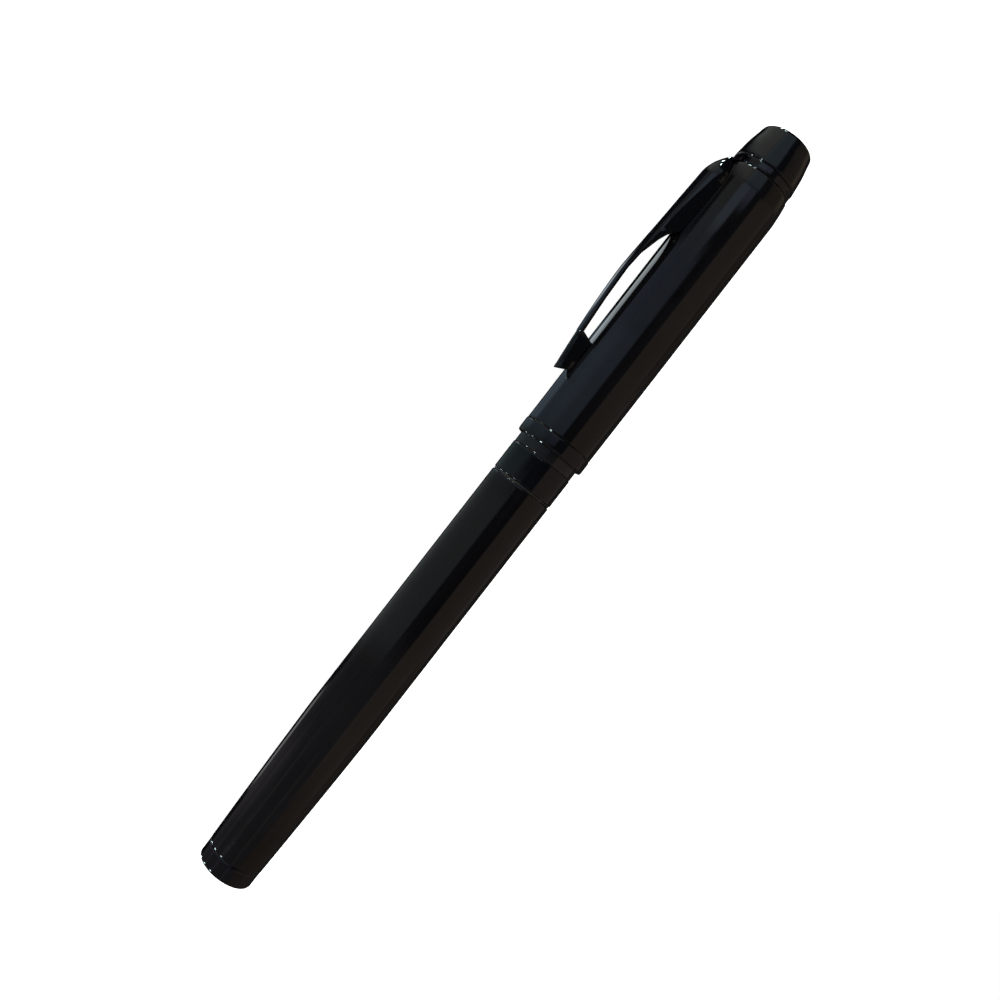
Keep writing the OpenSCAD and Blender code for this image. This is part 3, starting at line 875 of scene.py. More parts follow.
@dataclass
class Seal(Assembly):
    """The rubber ring in the groove between barrel and section."""

    body = Body.SEAL
    slots = {"seal_ring": Slot.RUBBER}

    def build(self) -> None:
        """Turns the ring from a round section."""
        at = self.span("seal_ring")
        cord_r = at.length / 2
        bm = bmesh.new()
        bmesh.ops.create_circle(bm, cap_ends=False, segments=20, radius=cord_r)
        bmesh.ops.translate(bm, verts=bm.verts, vec=(at.start + cord_r, at.radius - cord_r, 0))
        bmesh.ops.spin(bm, geom=bm.verts[:] + bm.edges[:], cent=(0, 0, 0), axis=(1, 0, 0),
                       angle=math.tau, steps=FACETS, use_merge=True, use_duplicate=False)
        bmesh.ops.remove_doubles(bm, verts=bm.verts, dist=WELD)
        bmesh.ops.recalc_face_normals(bm, faces=bm.faces)
        bm.verts.layers.float.new(RIM)
        self.keep("seal_ring", bm)


@dataclass
class Section(Assembly):
    """The section: trim collar, threaded sleeve, grip, snap band and nose cone."""

    seat_drop: float = 0.6
    shoulder_len: float = 4.0
    neck_len: float = 4.8
    neck_drop: float = 0.5
    grip_len: float = 15.0
    waist: float = 0.28
    bore_r: float = 3.3
    pitch: float = 0.75

    body = Body.SECTION
    slots = {"section_collar": Slot.TRIM, "section_sleeve": Slot.BRASS, "grip": Slot.GRIP,
             "snap_band": Slot.STEEL, "nose_cone": Slot.TRIM}

    def build(self) -> None:
        """Turns the pieces of the section."""
        self.keep("section_collar", self.collar())
        self.keep("section_sleeve", self.sleeve())
        self.keep("grip", self.grip())
        self.keep("snap_band", self.snap_band())
        self.keep("nose_cone", self.nose_cone())

    def collar(self) -> BMesh:
        """The trim collar, rounded at both ends, with the seal's recess behind it."""
        at = self.span("section_collar")
        seat = at.radius - self.seat_drop + 0.02
        return turned([
            Corner(at.start + 0.25, seat), Corner(at.start + 0.25, at.radius - 0.46, 0.03),
            Corner(at.start, at.radius - 0.4, 0.03), Corner(at.start, at.radius, 0.14),
            Corner(at.end, at.radius, 0.14), Corner(at.end, seat)], closed=True)

    def sleeve(self) -> BMesh:
        """The brass sleeve: a screw thread behind the collar and a plain seat ahead of it."""
        at, collar = self.span("section_sleeve"), self.span("section_collar")
        crest = self.span("barrel_bush").radius - 0.45 - 0.08 + 0.02
        root = crest - 0.3
        seat = collar.radius - self.seat_drop
        stop = collar.start - 0.4
        body = turned([
            Corner(at.start, self.bore_r, 0.05), Corner(at.start, root, 0.12),
            Corner(collar.start + 0.3, root, 0.03), Corner(collar.start + 0.3, seat, 0.05),
            Corner(at.end, seat, 0.08), Corner(at.end, self.bore_r, 0.05)], closed=True)
        return joined([body, thread(at.start + 0.25, stop, root - 0.05, crest, self.pitch)])

    def grip(self) -> BMesh:
        """The finger grip with its shoulder, snap groove and waist."""
        at, band = self.span("grip"), self.span("snap_band")
        shoulder_end = at.start - 0.02 + self.shoulder_len
        neck = at.radius - self.neck_drop
        hold = shoulder_end + self.neck_len
        seat = self.span("section_collar").radius - self.seat_drop + 0.02
        nose_r = self.span("nose_cone").radius
        groove = neck - 0.2

        def waist_r(share: float) -> float:
            """Radius of the waisted hold at a share of its length."""
            top = neck - 0.05
            return top + (nose_r - top) * share - self.waist * math.sin(math.pi * share)

        waist = [Corner(hold + self.grip_len * i / 18, waist_r(i / 18)) for i in range(1, 18)]
        return turned([
            Corner(at.start, seat), Corner(at.start, at.radius - 0.06, 0.05),
            Corner(at.start + 0.12, at.radius, 0.06), Corner(shoulder_end, at.radius, 0.14),
            Corner(shoulder_end, neck, 0.08), Corner(band.start - 0.01, neck, 0.03),
            Corner(band.start - 0.01, groove), Corner(band.end + 0.01, groove),
            Corner(band.end + 0.01, neck, 0.03), Corner(hold - 0.05, neck, 0.03),
            Corner(hold, neck - 0.05, 0.03), *waist, Corner(at.end, nose_r, 0.06),
            Corner(at.end, self.bore_r), Corner(shoulder_end - 0.98, self.bore_r),
            Corner(shoulder_end - 0.98, seat)], closed=True)

    def snap_band(self) -> BMesh:
        """The steel band that the cap's clutch ring passes with a click."""
        at = self.span("snap_band")
        foot = at.radius - 0.25
        return turned([
            Corner(at.start, foot - 0.18), Corner(at.start, foot, 0.03),
            Corner(at.start + 0.36, at.radius, 0.15), Corner(at.end - 0.36, at.radius, 0.15),
            Corner(at.end, foot, 0.03), Corner(at.end, foot - 0.18)], closed=True)

    def nose_cone(self) -> BMesh:
        """The nose cone: a short land, a swelling taper and a rounded tip."""
        at, nib = self.span("nose_cone"), self.span("nib")
        front = self.span("grip").end
        tip_r, bore = nib.radius + 0.55, nib.radius + 0.1
        spigot = self.bore_r - 0.02
        swell = [Corner(front + 0.75 + (at.end - 0.15 - front - 0.75) * s,
                        at.radius + (tip_r - at.radius) * s + 0.3 * math.sin(math.pi * s))
                 for s in (i / 10 for i in range(1, 10))]
        return turned([
            Corner(front + 0.35, bore), Corner(front + 0.35, spigot - 0.4),
            Corner(at.start, spigot - 0.4, 0.04), Corner(at.start, spigot, 0.04),
            Corner(front + 0.02, spigot), Corner(front + 0.02, at.radius, 0.1),
            Corner(front + 0.75, at.radius, 0.05), *swell,
            Corner(at.end - 0.1, tip_r - 0.01, 0.06), Corner(at.end, tip_r - 0.14, 0.05),
            Corner(at.end, bore, 0.04)], closed=True)


@dataclass
class Refill(Assembly):
    """The sealed reservoir with its wick, and the fibre nib."""

    wall: float = 0.35
    ball_r: float = 0.45
    cone_len: float = 2.1

    body = Body.REFILL
    slots = {"reservoir_tube": Slot.REFILL, "reservoir_plug": Slot.REFILL,
             "ink_wick": Slot.WICK, "nib_holder": Slot.REFILL, "nib": Slot.NIB}

    def build(self) -> None:
        """Turns the pieces of the refill."""
        self.keep("reservoir_tube", self.tube())
        self.keep("reservoir_plug", self.plug())
        self.keep("ink_wick", self.wick())
        self.keep("nib_holder", self.holder())
        self.keep("nib", self.nib())

    def tube(self) -> BMesh:
        """The thin reservoir tube, with a crimp line near each end."""
        at = self.span("reservoir_tube")
        outer, inner = at.radius, at.radius - self.wall
        crimps = [Corner(x, r, 0.04) for station in (at.start + 2.2, at.end - 2.2)
                  for x, r in ((station - 0.3, outer), (station - 0.1, outer - 0.08),
                               (station + 0.1, outer - 0.08), (station + 0.3, outer))]
        return turned([
            Corner(at.start, outer, 0.08), *crimps, Corner(at.end, outer, 0.08),
            Corner(at.end, inner, 0.04), Corner(at.start, inner, 0.04)], closed=True)

    def plug(self) -> BMesh:
        """The tail plug of the reservoir, with a moulded dimple."""
        at = self.span("reservoir_plug")
        return turned([
            Corner(at.start + 0.3, 0), Corner(at.start + 0.3, 0.8, 0.15),
            Corner(at.start, 1.2, 0.1), Corner(at.start, at.radius, 0.2),
            Corner(at.end, at.radius, 0.1), Corner(at.end, 0)])

    def wick(self) -> BMesh:
        """The ink-soaked wick, bored for the nib's tail."""
        at, nib = self.span("ink_wick"), self.span("nib")
        return turned([
            Corner(at.start, 0), Corner(at.start, at.radius, 0.2), Corner(at.end, at.radius, 0.2),
            Corner(at.end, nib.radius + 0.02, 0.1), Corner(nib.start - 0.02, nib.radius + 0.02),
            Corner(nib.start - 0.02, 0)])

    def holder(self) -> BMesh:
        """The nib's holder, stepped down at its front."""
        at, nib = self.span("nib_holder"), self.span("nib")
        bore = nib.radius + 0.02
        return turned([
            Corner(at.start, bore), Corner(at.start, at.radius, 0.05),
            Corner(at.end - 0.08, at.radius, 0.05), Corner(at.end, at.radius - 0.35, 0.05),
            Corner(at.end, bore, 0.05)], closed=True)

    def nib(self) -> BMesh:
        """The bullet nib: a rod, a cone and a rounded writing end."""
        at = self.span("nib")
        ball = at.end - self.ball_r
        dome = [Corner(ball + self.ball_r * math.sin(a), self.ball_r * math.cos(a))
                for a in (math.radians(8 + 13.5 * i) for i in range(6))]
        return turned([
            Corner(at.start, 0), Corner(at.start, at.radius, 0.12),
            Corner(at.end - self.cone_len, at.radius, 0.3), *dome, Corner(at.end, 0)])


@dataclass
class Cap(Assembly):
    """The cap: mouth band, drawn tube, liner, brass bush, washer, stud and crown."""

    taper_len: float = 3.1
    taper_drop: float = 0.36
    end_t: float = 0.8
    stud_r: float = 1.5
    slot_w: float = 3.3
    slot_in: float = 3.6
    stud_reach: float = 3.4

    body = Body.CAP
    slots = {"cap_band": Slot.TRIM, "cap_tube": Slot.LACQUER, "inner_cap": Slot.LINER,
             "cap_bush": Slot.BRASS, "clip_washer": Slot.TRIM, "crown_stud": Slot.BRASS,
             "crown": Slot.TRIM}

    @cached_property
    def bore_r(self) -> float:
        """Radius of the tube's bore, which the inner cap fills."""
        return self.span("inner_cap").radius + 0.02

    def build(self) -> None:
        """Turns the pieces of the cap."""
        self.keep("cap_band", self.band())
        self.keep("cap_tube", self.tube())
        self.keep("inner_cap", self.liner())
        self.keep("cap_bush", self.bush())
        self.keep("clip_washer", self.washer())
        self.keep("crown_stud", self.stud())
        self.keep("crown", self.crown())

    def band(self) -> BMesh:
        """The mouth band: a rolled lip, a land that stands proud, and its spigot."""
        at = self.span("cap_band")
        seam = self.span("cap_tube").start - 0.01
        spigot_in = self.span("snap_band").radius + 0.16
        spigot = self.bore_r - 0.02
        return turned([
            Corner(at.start + 0.1, self.bore_r), Corner(at.start, self.bore_r + 0.12, 0.05),
            Corner(at.start, at.radius - 0.1, 0.08), Corner(at.start + 0.34, at.radius, 0.1),
            Corner(seam - 0.2, at.radius, 0.08), Corner(seam, at.radius - 0.13, 0.03),
            Corner(seam, spigot), Corner(at.end, spigot, 0.06), Corner(at.end, spigot_in, 0.06),
            Corner(self.spigot_back(), spigot_in, 0.04), Corner(self.spigot_back(), self.bore_r)],
            closed=True)

    def spigot_back(self) -> float:
        """Station where the band's spigot stops short of the section's shoulder."""
        grip = self.span("grip")
        return grip.start - 0.02 + Section.shoulder_len + 0.15

    def tube(self) -> BMesh:
        """The drawn cap tube, which turns in at the top."""
        at = self.span("cap_tube")
        top_r, taper = at.radius - self.taper_drop, at.end - self.taper_len
        straight = [Corner(at.start + 11.5 * i, at.radius) for i in (1, 2, 3)]
        return turned([
            Corner(at.start, self.bore_r), Corner(at.start, at.radius - 0.03, 0.1), *straight,
            Corner(taper - 1.2, at.radius), Corner(taper - 0.2, at.radius - 0.02),
            Corner(taper + 0.5, at.radius - 0.08), Corner(taper + 1.3, at.radius - 0.16),
            Corner(taper + 2.1, at.radius - 0.25), Corner(at.end - 0.1, top_r, 0.22),
            Corner(at.end, top_r - 0.3, 0.05), Corner(at.end, self.stud_r + 0.1, 0.04),
            Corner(at.end - self.end_t, self.stud_r + 0.1),
            Corner(at.end - self.end_t, top_r - 0.95),
            Corner(at.end - self.end_t - 0.8, self.bore_r - 0.25, 0.2),
            Corner(taper - 1.2, self.bore_r)], closed=True)

    def liner(self) -> BMesh:
        """The inner cap that seals round the grip and keeps the nib moist."""
        at = self.span("inner_cap")
        grip, nib = self.span("grip"), self.span("nib")
        neck = grip.radius - Section.neck_drop
        mouth, chamber = neck + 0.35, self.span("nose_cone").radius + 0.4
        mid, floor = grip.end - 1.0, nib.end + 1.3
        foot = self.bore_r - 2.0
        return turned([
            Corner(floor, 0), Corner(floor, chamber, 0.3), Corner(mid + 2.6, chamber, 0.3),
            Corner(mid, mouth, 0.3), Corner(at.start, mouth, 0.1),
            Corner(at.start, at.radius, 0.08), Corner(mid + 2, at.radius, 0.2),
            Corner(mid + 4, chamber + 0.8, 0.3),
            Corner(floor + 0.4, chamber + 0.8, 0.2), Corner(at.end, foot, 0.15),
            Corner(at.end, 0)])

    def bush(self) -> BMesh:
        """The brass bush that the crown's stud screws into."""
        at = self.span("cap_bush")
        bore = self.stud_r + 0.02
        return turned([
            Corner(at.start, bore, 0.04), Corner(at.start, at.radius, 0.2),
            Corner(at.start + 1.2, at.radius, 0.05),
            Corner(at.start + 1.35, at.radius - 0.15, 0.05),
            Corner(at.start + 1.65, at.radius - 0.15, 0.05),
            Corner(at.start + 1.8, at.radius, 0.05),
            Corner(at.end - 1.6, at.radius, 0.1), Corner(at.end, at.radius - 0.92, 0.08),
            Corner(at.end, bore, 0.04)], closed=True)

    def washer(self) -> BMesh:
        """The clip washer: a full inner ring and an outer ring with the clip's slot."""
        at = self.span("clip_washer")
        inner = turned([
            Corner(at.start + 0.02, self.stud_r + 0.1),
            Corner(at.start + 0.02, self.slot_in + 0.05),
            Corner(at.end - 0.02, self.slot_in + 0.05),
            Corner(at.end - 0.02, self.stud_r + 0.1)], closed=True)
        half = math.degrees(math.asin(self.slot_w / 2 / (at.radius * 0.86)))
        outer = turned([
            Corner(at.start, self.slot_in), Corner(at.start, at.radius, 0.16),
            Corner(at.end, at.radius, 0.16), Corner(at.end, self.slot_in)],
            closed=True, sweep=360 - 2 * half, start=half)
        return joined([outer, inner])

    def stud(self) -> BMesh:
        """The brass stud that ties crown, washer and cap together."""
        at = self.span("crown_stud")
        root = at.radius - 0.18
        rod = turned([Corner(at.start, 0), Corner(at.start, root, 0.2),
                      Corner(at.end, root, 0.2), Corner(at.end, 0)])
        return joined([rod, thread(at.start + 0.3, at.end - 0.3, root - 0.05, at.radius, 0.5)])

    def crown(self) -> BMesh:
        """The crown: a full base, a slow curve in, and a flat end with a soft edge."""
        at = self.span("crown")
        end_r = at.radius - 1.27
        bore = self.stud_r + 0.02
        hole = at.start + self.stud_reach + 0.3
        flank = [Corner(at.start + x, at.radius - drop) for x, drop in
                 ((0.7, 0.045), (1.4, 0.13), (2.3, 0.23), (3.0, 0.32), (3.6, 0.42), (4.1, 0.53),
                  (4.7, 0.67), (5.2, 0.78))]
        return turned([
            Corner(hole, 0), Corner(hole, bore), Corner(at.start, bore),
            Corner(at.start, at.radius - 0.18, 0.04),
            Corner(at.start + 0.16, at.radius, 0.1), *flank,
            Corner(at.end - 0.32, at.radius - 0.93, 0.16), Corner(at.end, end_r + 0.02, 0.16),
            Corner(at.end, 2.6, 0.02), Corner(at.end - 0.02, 2.5, 0.02), Corner(at.end - 0.02, 0)])


@dataclass
class PocketClip(Assembly):
    """The pressed clip: rounded back, side walls, thin arched blade and a pad at the tip."""

    length: float = 40.7
    crest_h: float = 3.34
    crest_at: float = 22.8
    back_h: float = 2.4
    back_len: float = 4.9
    tip_h: float = 1.98
    thin: float = 0.6
    root_w: float = 4.2
    tip_w: float = 1.9
    wall_len: float = 13.6
    pad_len: float = 6.4
    gap: float = 0.08
    arch_rise: float = 0.1
    draft: float = 0.14
    shoulder: float = 0.35
    tang_w: float = 2.8
    tang_t: float = 0.85
    tang_in_r: float = 3.9
    neck_w: float = 2.0
    edge_round: float = 0.07
    edge_angle: float = 40.0
    cells: tuple[int, int] = (95, 20)

    body = Body.CLIP
    slots = {"clip": Slot.TRIM}

    @cached_property
    def root(self) -> float:
        """Station of the clip's root."""
        return self.span("clip").start + self.length

    @cached_property
    def cap_r(self) -> float:
        """Radius of the cap under the clip."""
        return self.span("cap_tube").radius

    @property
    def centre(self) -> float:
        """Height over the axis of the centre of the blade's arch."""
        return self.cap_r + self.arch_rise

    def build(self) -> None:
        """Shapes the blade from a grid, thickens it and adds the tang."""
        bm = bmesh.new()
        bmesh.ops.create_grid(bm, x_segments=self.cells[0], y_segments=self.cells[1], size=1)
        along, across = (bm.verts.layers.float.new(n) for n in ("along", "across"))
        stations = self.stations()
        for vert in bm.verts:
            place = (vert.co.x + 1) / 2 * (len(stations) - 1)
            i = min(int(place + 1e-6), len(stations) - 2)
            share = stations[i] + (stations[i + 1] - stations[i]) * (place - i)
            vert[along], vert[across] = share, math.sin(math.pi / 2 * vert.co.y)
        made = bmesh.ops.extrude_face_region(bm, geom=bm.faces[:])
        under = {v for v in made["geom"] if isinstance(v, BMVert)}
        for vert in bm.verts:
            vert.co = self.point(vert[along], vert[across], vert in under)
        bmesh.ops.remove_doubles(bm, verts=bm.verts, dist=1e-3)
        bmesh.ops.recalc_face_normals(bm, faces=bm.faces)
        rim = bm.verts.layers.float.new(RIM)
        self.round_off(bm, rim, self.edge_round, self.edge_angle)
        self.keep("clip", joined([bm, self.tang()]))

    @staticmethod
    def round_off(bm: BMesh, rim: object, width: float, angle: float) -> None:
        """Rounds every edge that is sharper than an angle, and marks it as rim.

        Args:
            bm: The closed mesh.
            rim: The rim layer of its vertices.
            width: Width of the rounding.
            angle: Least angle between the faces, in degrees.
        """
        sharp = [e for e in bm.edges if e.calc_face_angle(0.0) > math.radians(angle)]
        made = bmesh.ops.bevel(bm, geom=sharp, offset=width, offset_type="OFFSET",
                               segments=BEVEL_STEPS, profile=0.5, affect="EDGES", material=-1,
                               clamp_overlap=True)
        for vert in made["verts"]:
            vert[rim] = 1.0

    def stations(self) -> list[float]:
        """Shares of the length at the grid's rows, closer where the side view turns."""
        marks = ((0.0, 0.0), (0.4, 4), (self.back_len, 14), (self.wall_len - 0.6, 10),
                 (self.wall_len + 3.6, 12), (self.crest_at - 2.4, 5), (self.crest_at + 1.6, 10),
                 (self.length - self.pad_len - 0.5, 12), (self.length - self.pad_len + 0.5, 10),
                 (self.length - 1.6, 8), (self.length, 10))
        rows = [0.0]
        for (low, _), (high, count) in zip(marks, marks[1:]):
            rows += [low + (high - low) * (i + 1) / count for i in range(count)]
        return [row / self.length for row in rows]

    def height(self, d: float) -> float:
        """Height of the blade's crown over the cap at a distance from the root."""
        if d < self.back_len:
            turn = math.pi / 2 * (max(0.0, d) / self.back_len) ** 0.9
            return 0.25 + (self.back_h - 0.25) * math.sin(turn)
        if d < self.crest_at:
            share = (d - self.back_len) / (self.crest_at - self.back_len)
            return self.back_h + (self.crest_h - self.back_h) * share
        share = (d - self.crest_at) / (self.length - self.crest_at)
        return self.crest_h - (self.crest_h - self.tip_h) * share ** 1.6

    def underside(self, d: float) -> float | None:
        """Distance of the blade's underside from the axis, or none where it meets the cap."""
        foot, pad, wall = self.cap_r + self.gap, self.length - self.pad_len, self.wall_len
        mid = (self.crest_at + pad) / 2

        def thin_at(place: float) -> float:
            """The underside of the thin blade."""
            return self.cap_r + self.height(place) - self.thin

        line = ((wall, foot - 0.2), (wall + 1.9, foot + 1.2), (wall + 3.3, foot + 1.75),
                (self.crest_at - 2.8, thin_at(self.crest_at - 2.8)),
                (self.crest_at, thin_at(self.crest_at)), (mid, thin_at(mid)),
                (pad - 0.06, thin_at(pad)), (pad + 0.06, foot + 0.3), (pad + 0.3, foot),
                (self.length - 1.6, foot), (self.length - 0.9, foot + 0.25),
                (self.length, self.cap_r + self.tip_h))
        if d <= line[0][0]:
            return None
        for (x0, y0), (x1, y1) in zip(line, line[1:]):
            if d <= x1:
                return y0 + (y1 - y0) * (d - x0) / (x1 - x0)
        return line[-1][1]

    def half_width(self, d: float) -> float:
        """Half the plan width, which the rounded back narrows at the root."""
        share = min(1.0, max(0.0, (d - self.back_len) / (self.crest_at - self.back_len)))
        half = (self.root_w + (self.tip_w - self.root_w) * share) / 2
        return min(half, 0.985 * (self.cap_r + self.height(d) - self.centre))

    def point(self, share: float, side: float, under: bool) -> Vector:
        """A point of the blade.

        Args:
            share: Share of the length, from the root.
            side: Place across the blade, from -1 to 1.
            under: True on the underside.

        Returns:
            The point in pen space.
        """
        tip_r = self.tip_w / 2
        end = self.length - tip_r + tip_r * math.sqrt(max(0.0, 1 - side * side))
        d = share * end
        half = self.half_width(d)
        arch = self.cap_r + self.height(d) - self.centre
        edge = self.centre + math.sqrt(arch ** 2 - half ** 2)
        foot, flat = self.cap_r + self.gap, self.underside(d)
        under_edge = math.sqrt(foot ** 2 - half ** 2) if flat is None else flat
        wall = max(0.0, edge - under_edge)
        if under:
            z = side * half
            y = max(flat or 0.0, math.sqrt(foot ** 2 - z ** 2))
            limit = self.centre + math.sqrt(arch ** 2 - z ** 2) - self.drop(side, wall) - 0.04
            return Vector((self.root - d, min(y, limit), z))
        z = side * (half - min(self.draft * wall, 0.4 * half))
        top = self.centre + math.sqrt(arch ** 2 - z ** 2)
        return Vector((self.root - d, top - self.drop(side, wall), z))

    def drop(self, side: float, wall: float) -> float:
        """How far the rounded shoulder falls below the arch, over a wall of some height."""
        return self.shoulder * min(1.0, wall / 1.6) * side ** 4

    def tang(self) -> BMesh:
        """The tang in the washer's slot, and the neck that joins it to the root."""
        bm = bmesh.new()
        rim, foot = self.span("clip_washer").radius, self.cap_r + self.gap
        middle = self.root - 0.02 + self.tang_t / 2
        bmesh.ops.create_cube(bm, size=1)
        bmesh.ops.scale(bm, verts=bm.verts, vec=(self.tang_t, rim - self.tang_in_r, self.tang_w))
        bmesh.ops.translate(bm, verts=bm.verts, vec=(middle, (rim + self.tang_in_r) / 2, 0))
        bm.normal_update()
        outer = [face for face in bm.faces if face.normal.y > 0.9]
        made = bmesh.ops.extrude_face_region(bm, geom=outer)
        for vert in (v for v in made["geom"] if isinstance(v, BMVert)):
            high = vert.co.x > middle
            vert.co = (self.root - (0.3 if high else 0.5), foot + (0.3 if high else 0.04),
                       math.copysign(self.neck_w / 2, vert.co.z))
        bmesh.ops.bevel(bm, geom=bm.edges[:], offset=0.05, offset_type="OFFSET", segments=2,
                        profile=0.5, affect="EDGES", material=-1, clamp_overlap=True)
        bmesh.ops.recalc_face_normals(bm, faces=bm.faces)
        return bm

    def dress_all(self) -> None:
        """Paints the clip, and lets its broad faces set the shading at their edges."""
        shading = self.pieces["clip"].modifiers.new("broad_faces", "WEIGHTED_NORMAL")
        shading.keep_sharp = True
        super().dress_all()


@dataclass
class ClutchRing(Assembly):
    """The steel ring in the cap that snaps over the section's band."""

    body = Body.CLUTCH
    slots = {"clutch_ring": Slot.STEEL}

    def build(self) -> None:
        """Turns the ring with its lead-in at both sides."""
        at, band = self.span("clutch_ring"), self.span("snap_band")
        inner = band.radius + 0.08
        self.keep("clutch_ring", turned([
            Corner(at.start + 0.22, inner, 0.06), Corner(at.start, inner + 0.14, 0.04),
            Corner(at.start, at.radius, 0.06), Corner(at.end, at.radius, 0.06),
            Corner(at.end, inner + 0.14, 0.04), Corner(at.end - 0.22, inner, 0.06)], closed=True))


# ---- Studio ----------------------------------------------------------------


@dataclass(frozen=True)
class Panel:
    """A soft panel of the light tent, which only gloss shows.

    Its place is an arc round the pen, in degrees from the camera towards the
    clip, and a range of degrees along the pen towards the crown.
    """

    arc: tuple[float, float]
    colour: Colour
    soft: float = 3.0
    along: tuple[float, float] = (-90.0, 90.0)
    along_soft: float = 6.0


PANELS = (
    # the clip's side of the tent, from the tail to the crown
    Panel((-38, 125), (0.095, 0.085, 0.090), soft=6, along=(-62, -11), along_soft=3),
    Panel((60, 122), (0.10, 0.09, 0.11), soft=15, along=(-24, -19), along_soft=2),
    Panel((76, 80), (0.14, 0.13, 0.14), soft=3, along=(-32, -17), along_soft=3),
    Panel((33, 37), (0.14, 0.13, 0.135), soft=3, along=(-32, -19), along_soft=3),
    Panel((-13, -9), (0.13, 0.12, 0.12), soft=3, along=(-32, -20), along_soft=3),
    Panel((125, 140), (0.70, 0.70, 0.72), soft=3, along=(-21.5, -15), along_soft=1),
    Panel((12, 150), (0.190, 0.220, 0.215), soft=5, along=(-11, 1.2), along_soft=2),
    Panel((40, 150), (0.11, 0.17, 0.18), soft=14, along=(1.2, 4.3), along_soft=0.6),
    Panel((-2, 150), (0.20, 0.27, 0.36), soft=4, along=(4.3, 12), along_soft=0.6),
    Panel((40, 75), (0.06, 0.08, 0.10), soft=15, along=(4.3, 12), along_soft=1.5),
    Panel((-2, 95), (0.165, 0.21, 0.29), soft=5, along=(12, 17.6), along_soft=1),
    Panel((12, 72), (0.18, 0.22, 0.25), soft=5, along=(17.6, 20), along_soft=1),
    Panel((36, 72), (0.20, 0.21, 0.20), soft=5, along=(20, 30), along_soft=1),
    Panel((8, 36), (0.36, 0.46, 0.58), soft=4, along=(19.6, 30), along_soft=0.8),
    Panel((-14, 8), (0.26, 0.30, 0.42), soft=4, along=(21.7, 30), along_soft=0.8),
    Panel((33, 130), (0.42, 0.44, 0.40), soft=12, along=(31, 56), along_soft=3),
    Panel((-17, 33), (0.25, 0.33, 0.40), soft=6, along=(31, 56), along_soft=3),
    # the bright strips that draw thin lines along the clip's edge of the pen
    Panel((106, 124), (0.14, 0.19, 0.20), soft=3, along=(4.3, 8.5), along_soft=0.6),
    Panel((112, 137), (1.8, 2.0, 2.06), soft=1.5, along=(8.5, 17.5), along_soft=0.8),
    # the warm lower side
    Panel((-103, -35), (0.205, 0.158, 0.118), soft=3, along=(-22, 27), along_soft=3),
    Panel((-103, -40), (0.14, 0.10, 0.07), soft=6, along=(-62, -22), along_soft=3),
    Panel((-125, -45), (0.14, 0.11, 0.07), soft=6, along=(27, 58), along_soft=3),
    Panel((-122, -105), (0.10, 0.09, 0.085), soft=3, along=(-10, 9), along_soft=3),
    Panel((-128, -103), (0.09, 0.068, 0.052), soft=3),
    Panel((-180, -128), (0.033, 0.030, 0.027), soft=4),
)


@dataclass(frozen=True)
class Lamp:
    """A small lamp that makes the bright points on the rims."""

    name: str
    arc: float
    along: float
    radiance: float
    colour: Colour = (0.75, 1.0, 1.0)
    size: float = 0.075
    distance: float = 1.2


LAMPS = (
    Lamp("tail_near", 42, -37, 55), Lamp("tail_mid", 85, -37, 55), Lamp("tail_far", 128, -37, 55),
    Lamp("crown_near", 60, 64, 90, size=0.05), Lamp("crown_mid", 104, 64, 90, size=0.05),
    Lamp("crown_far", 138, 64, 90, size=0.05),
)


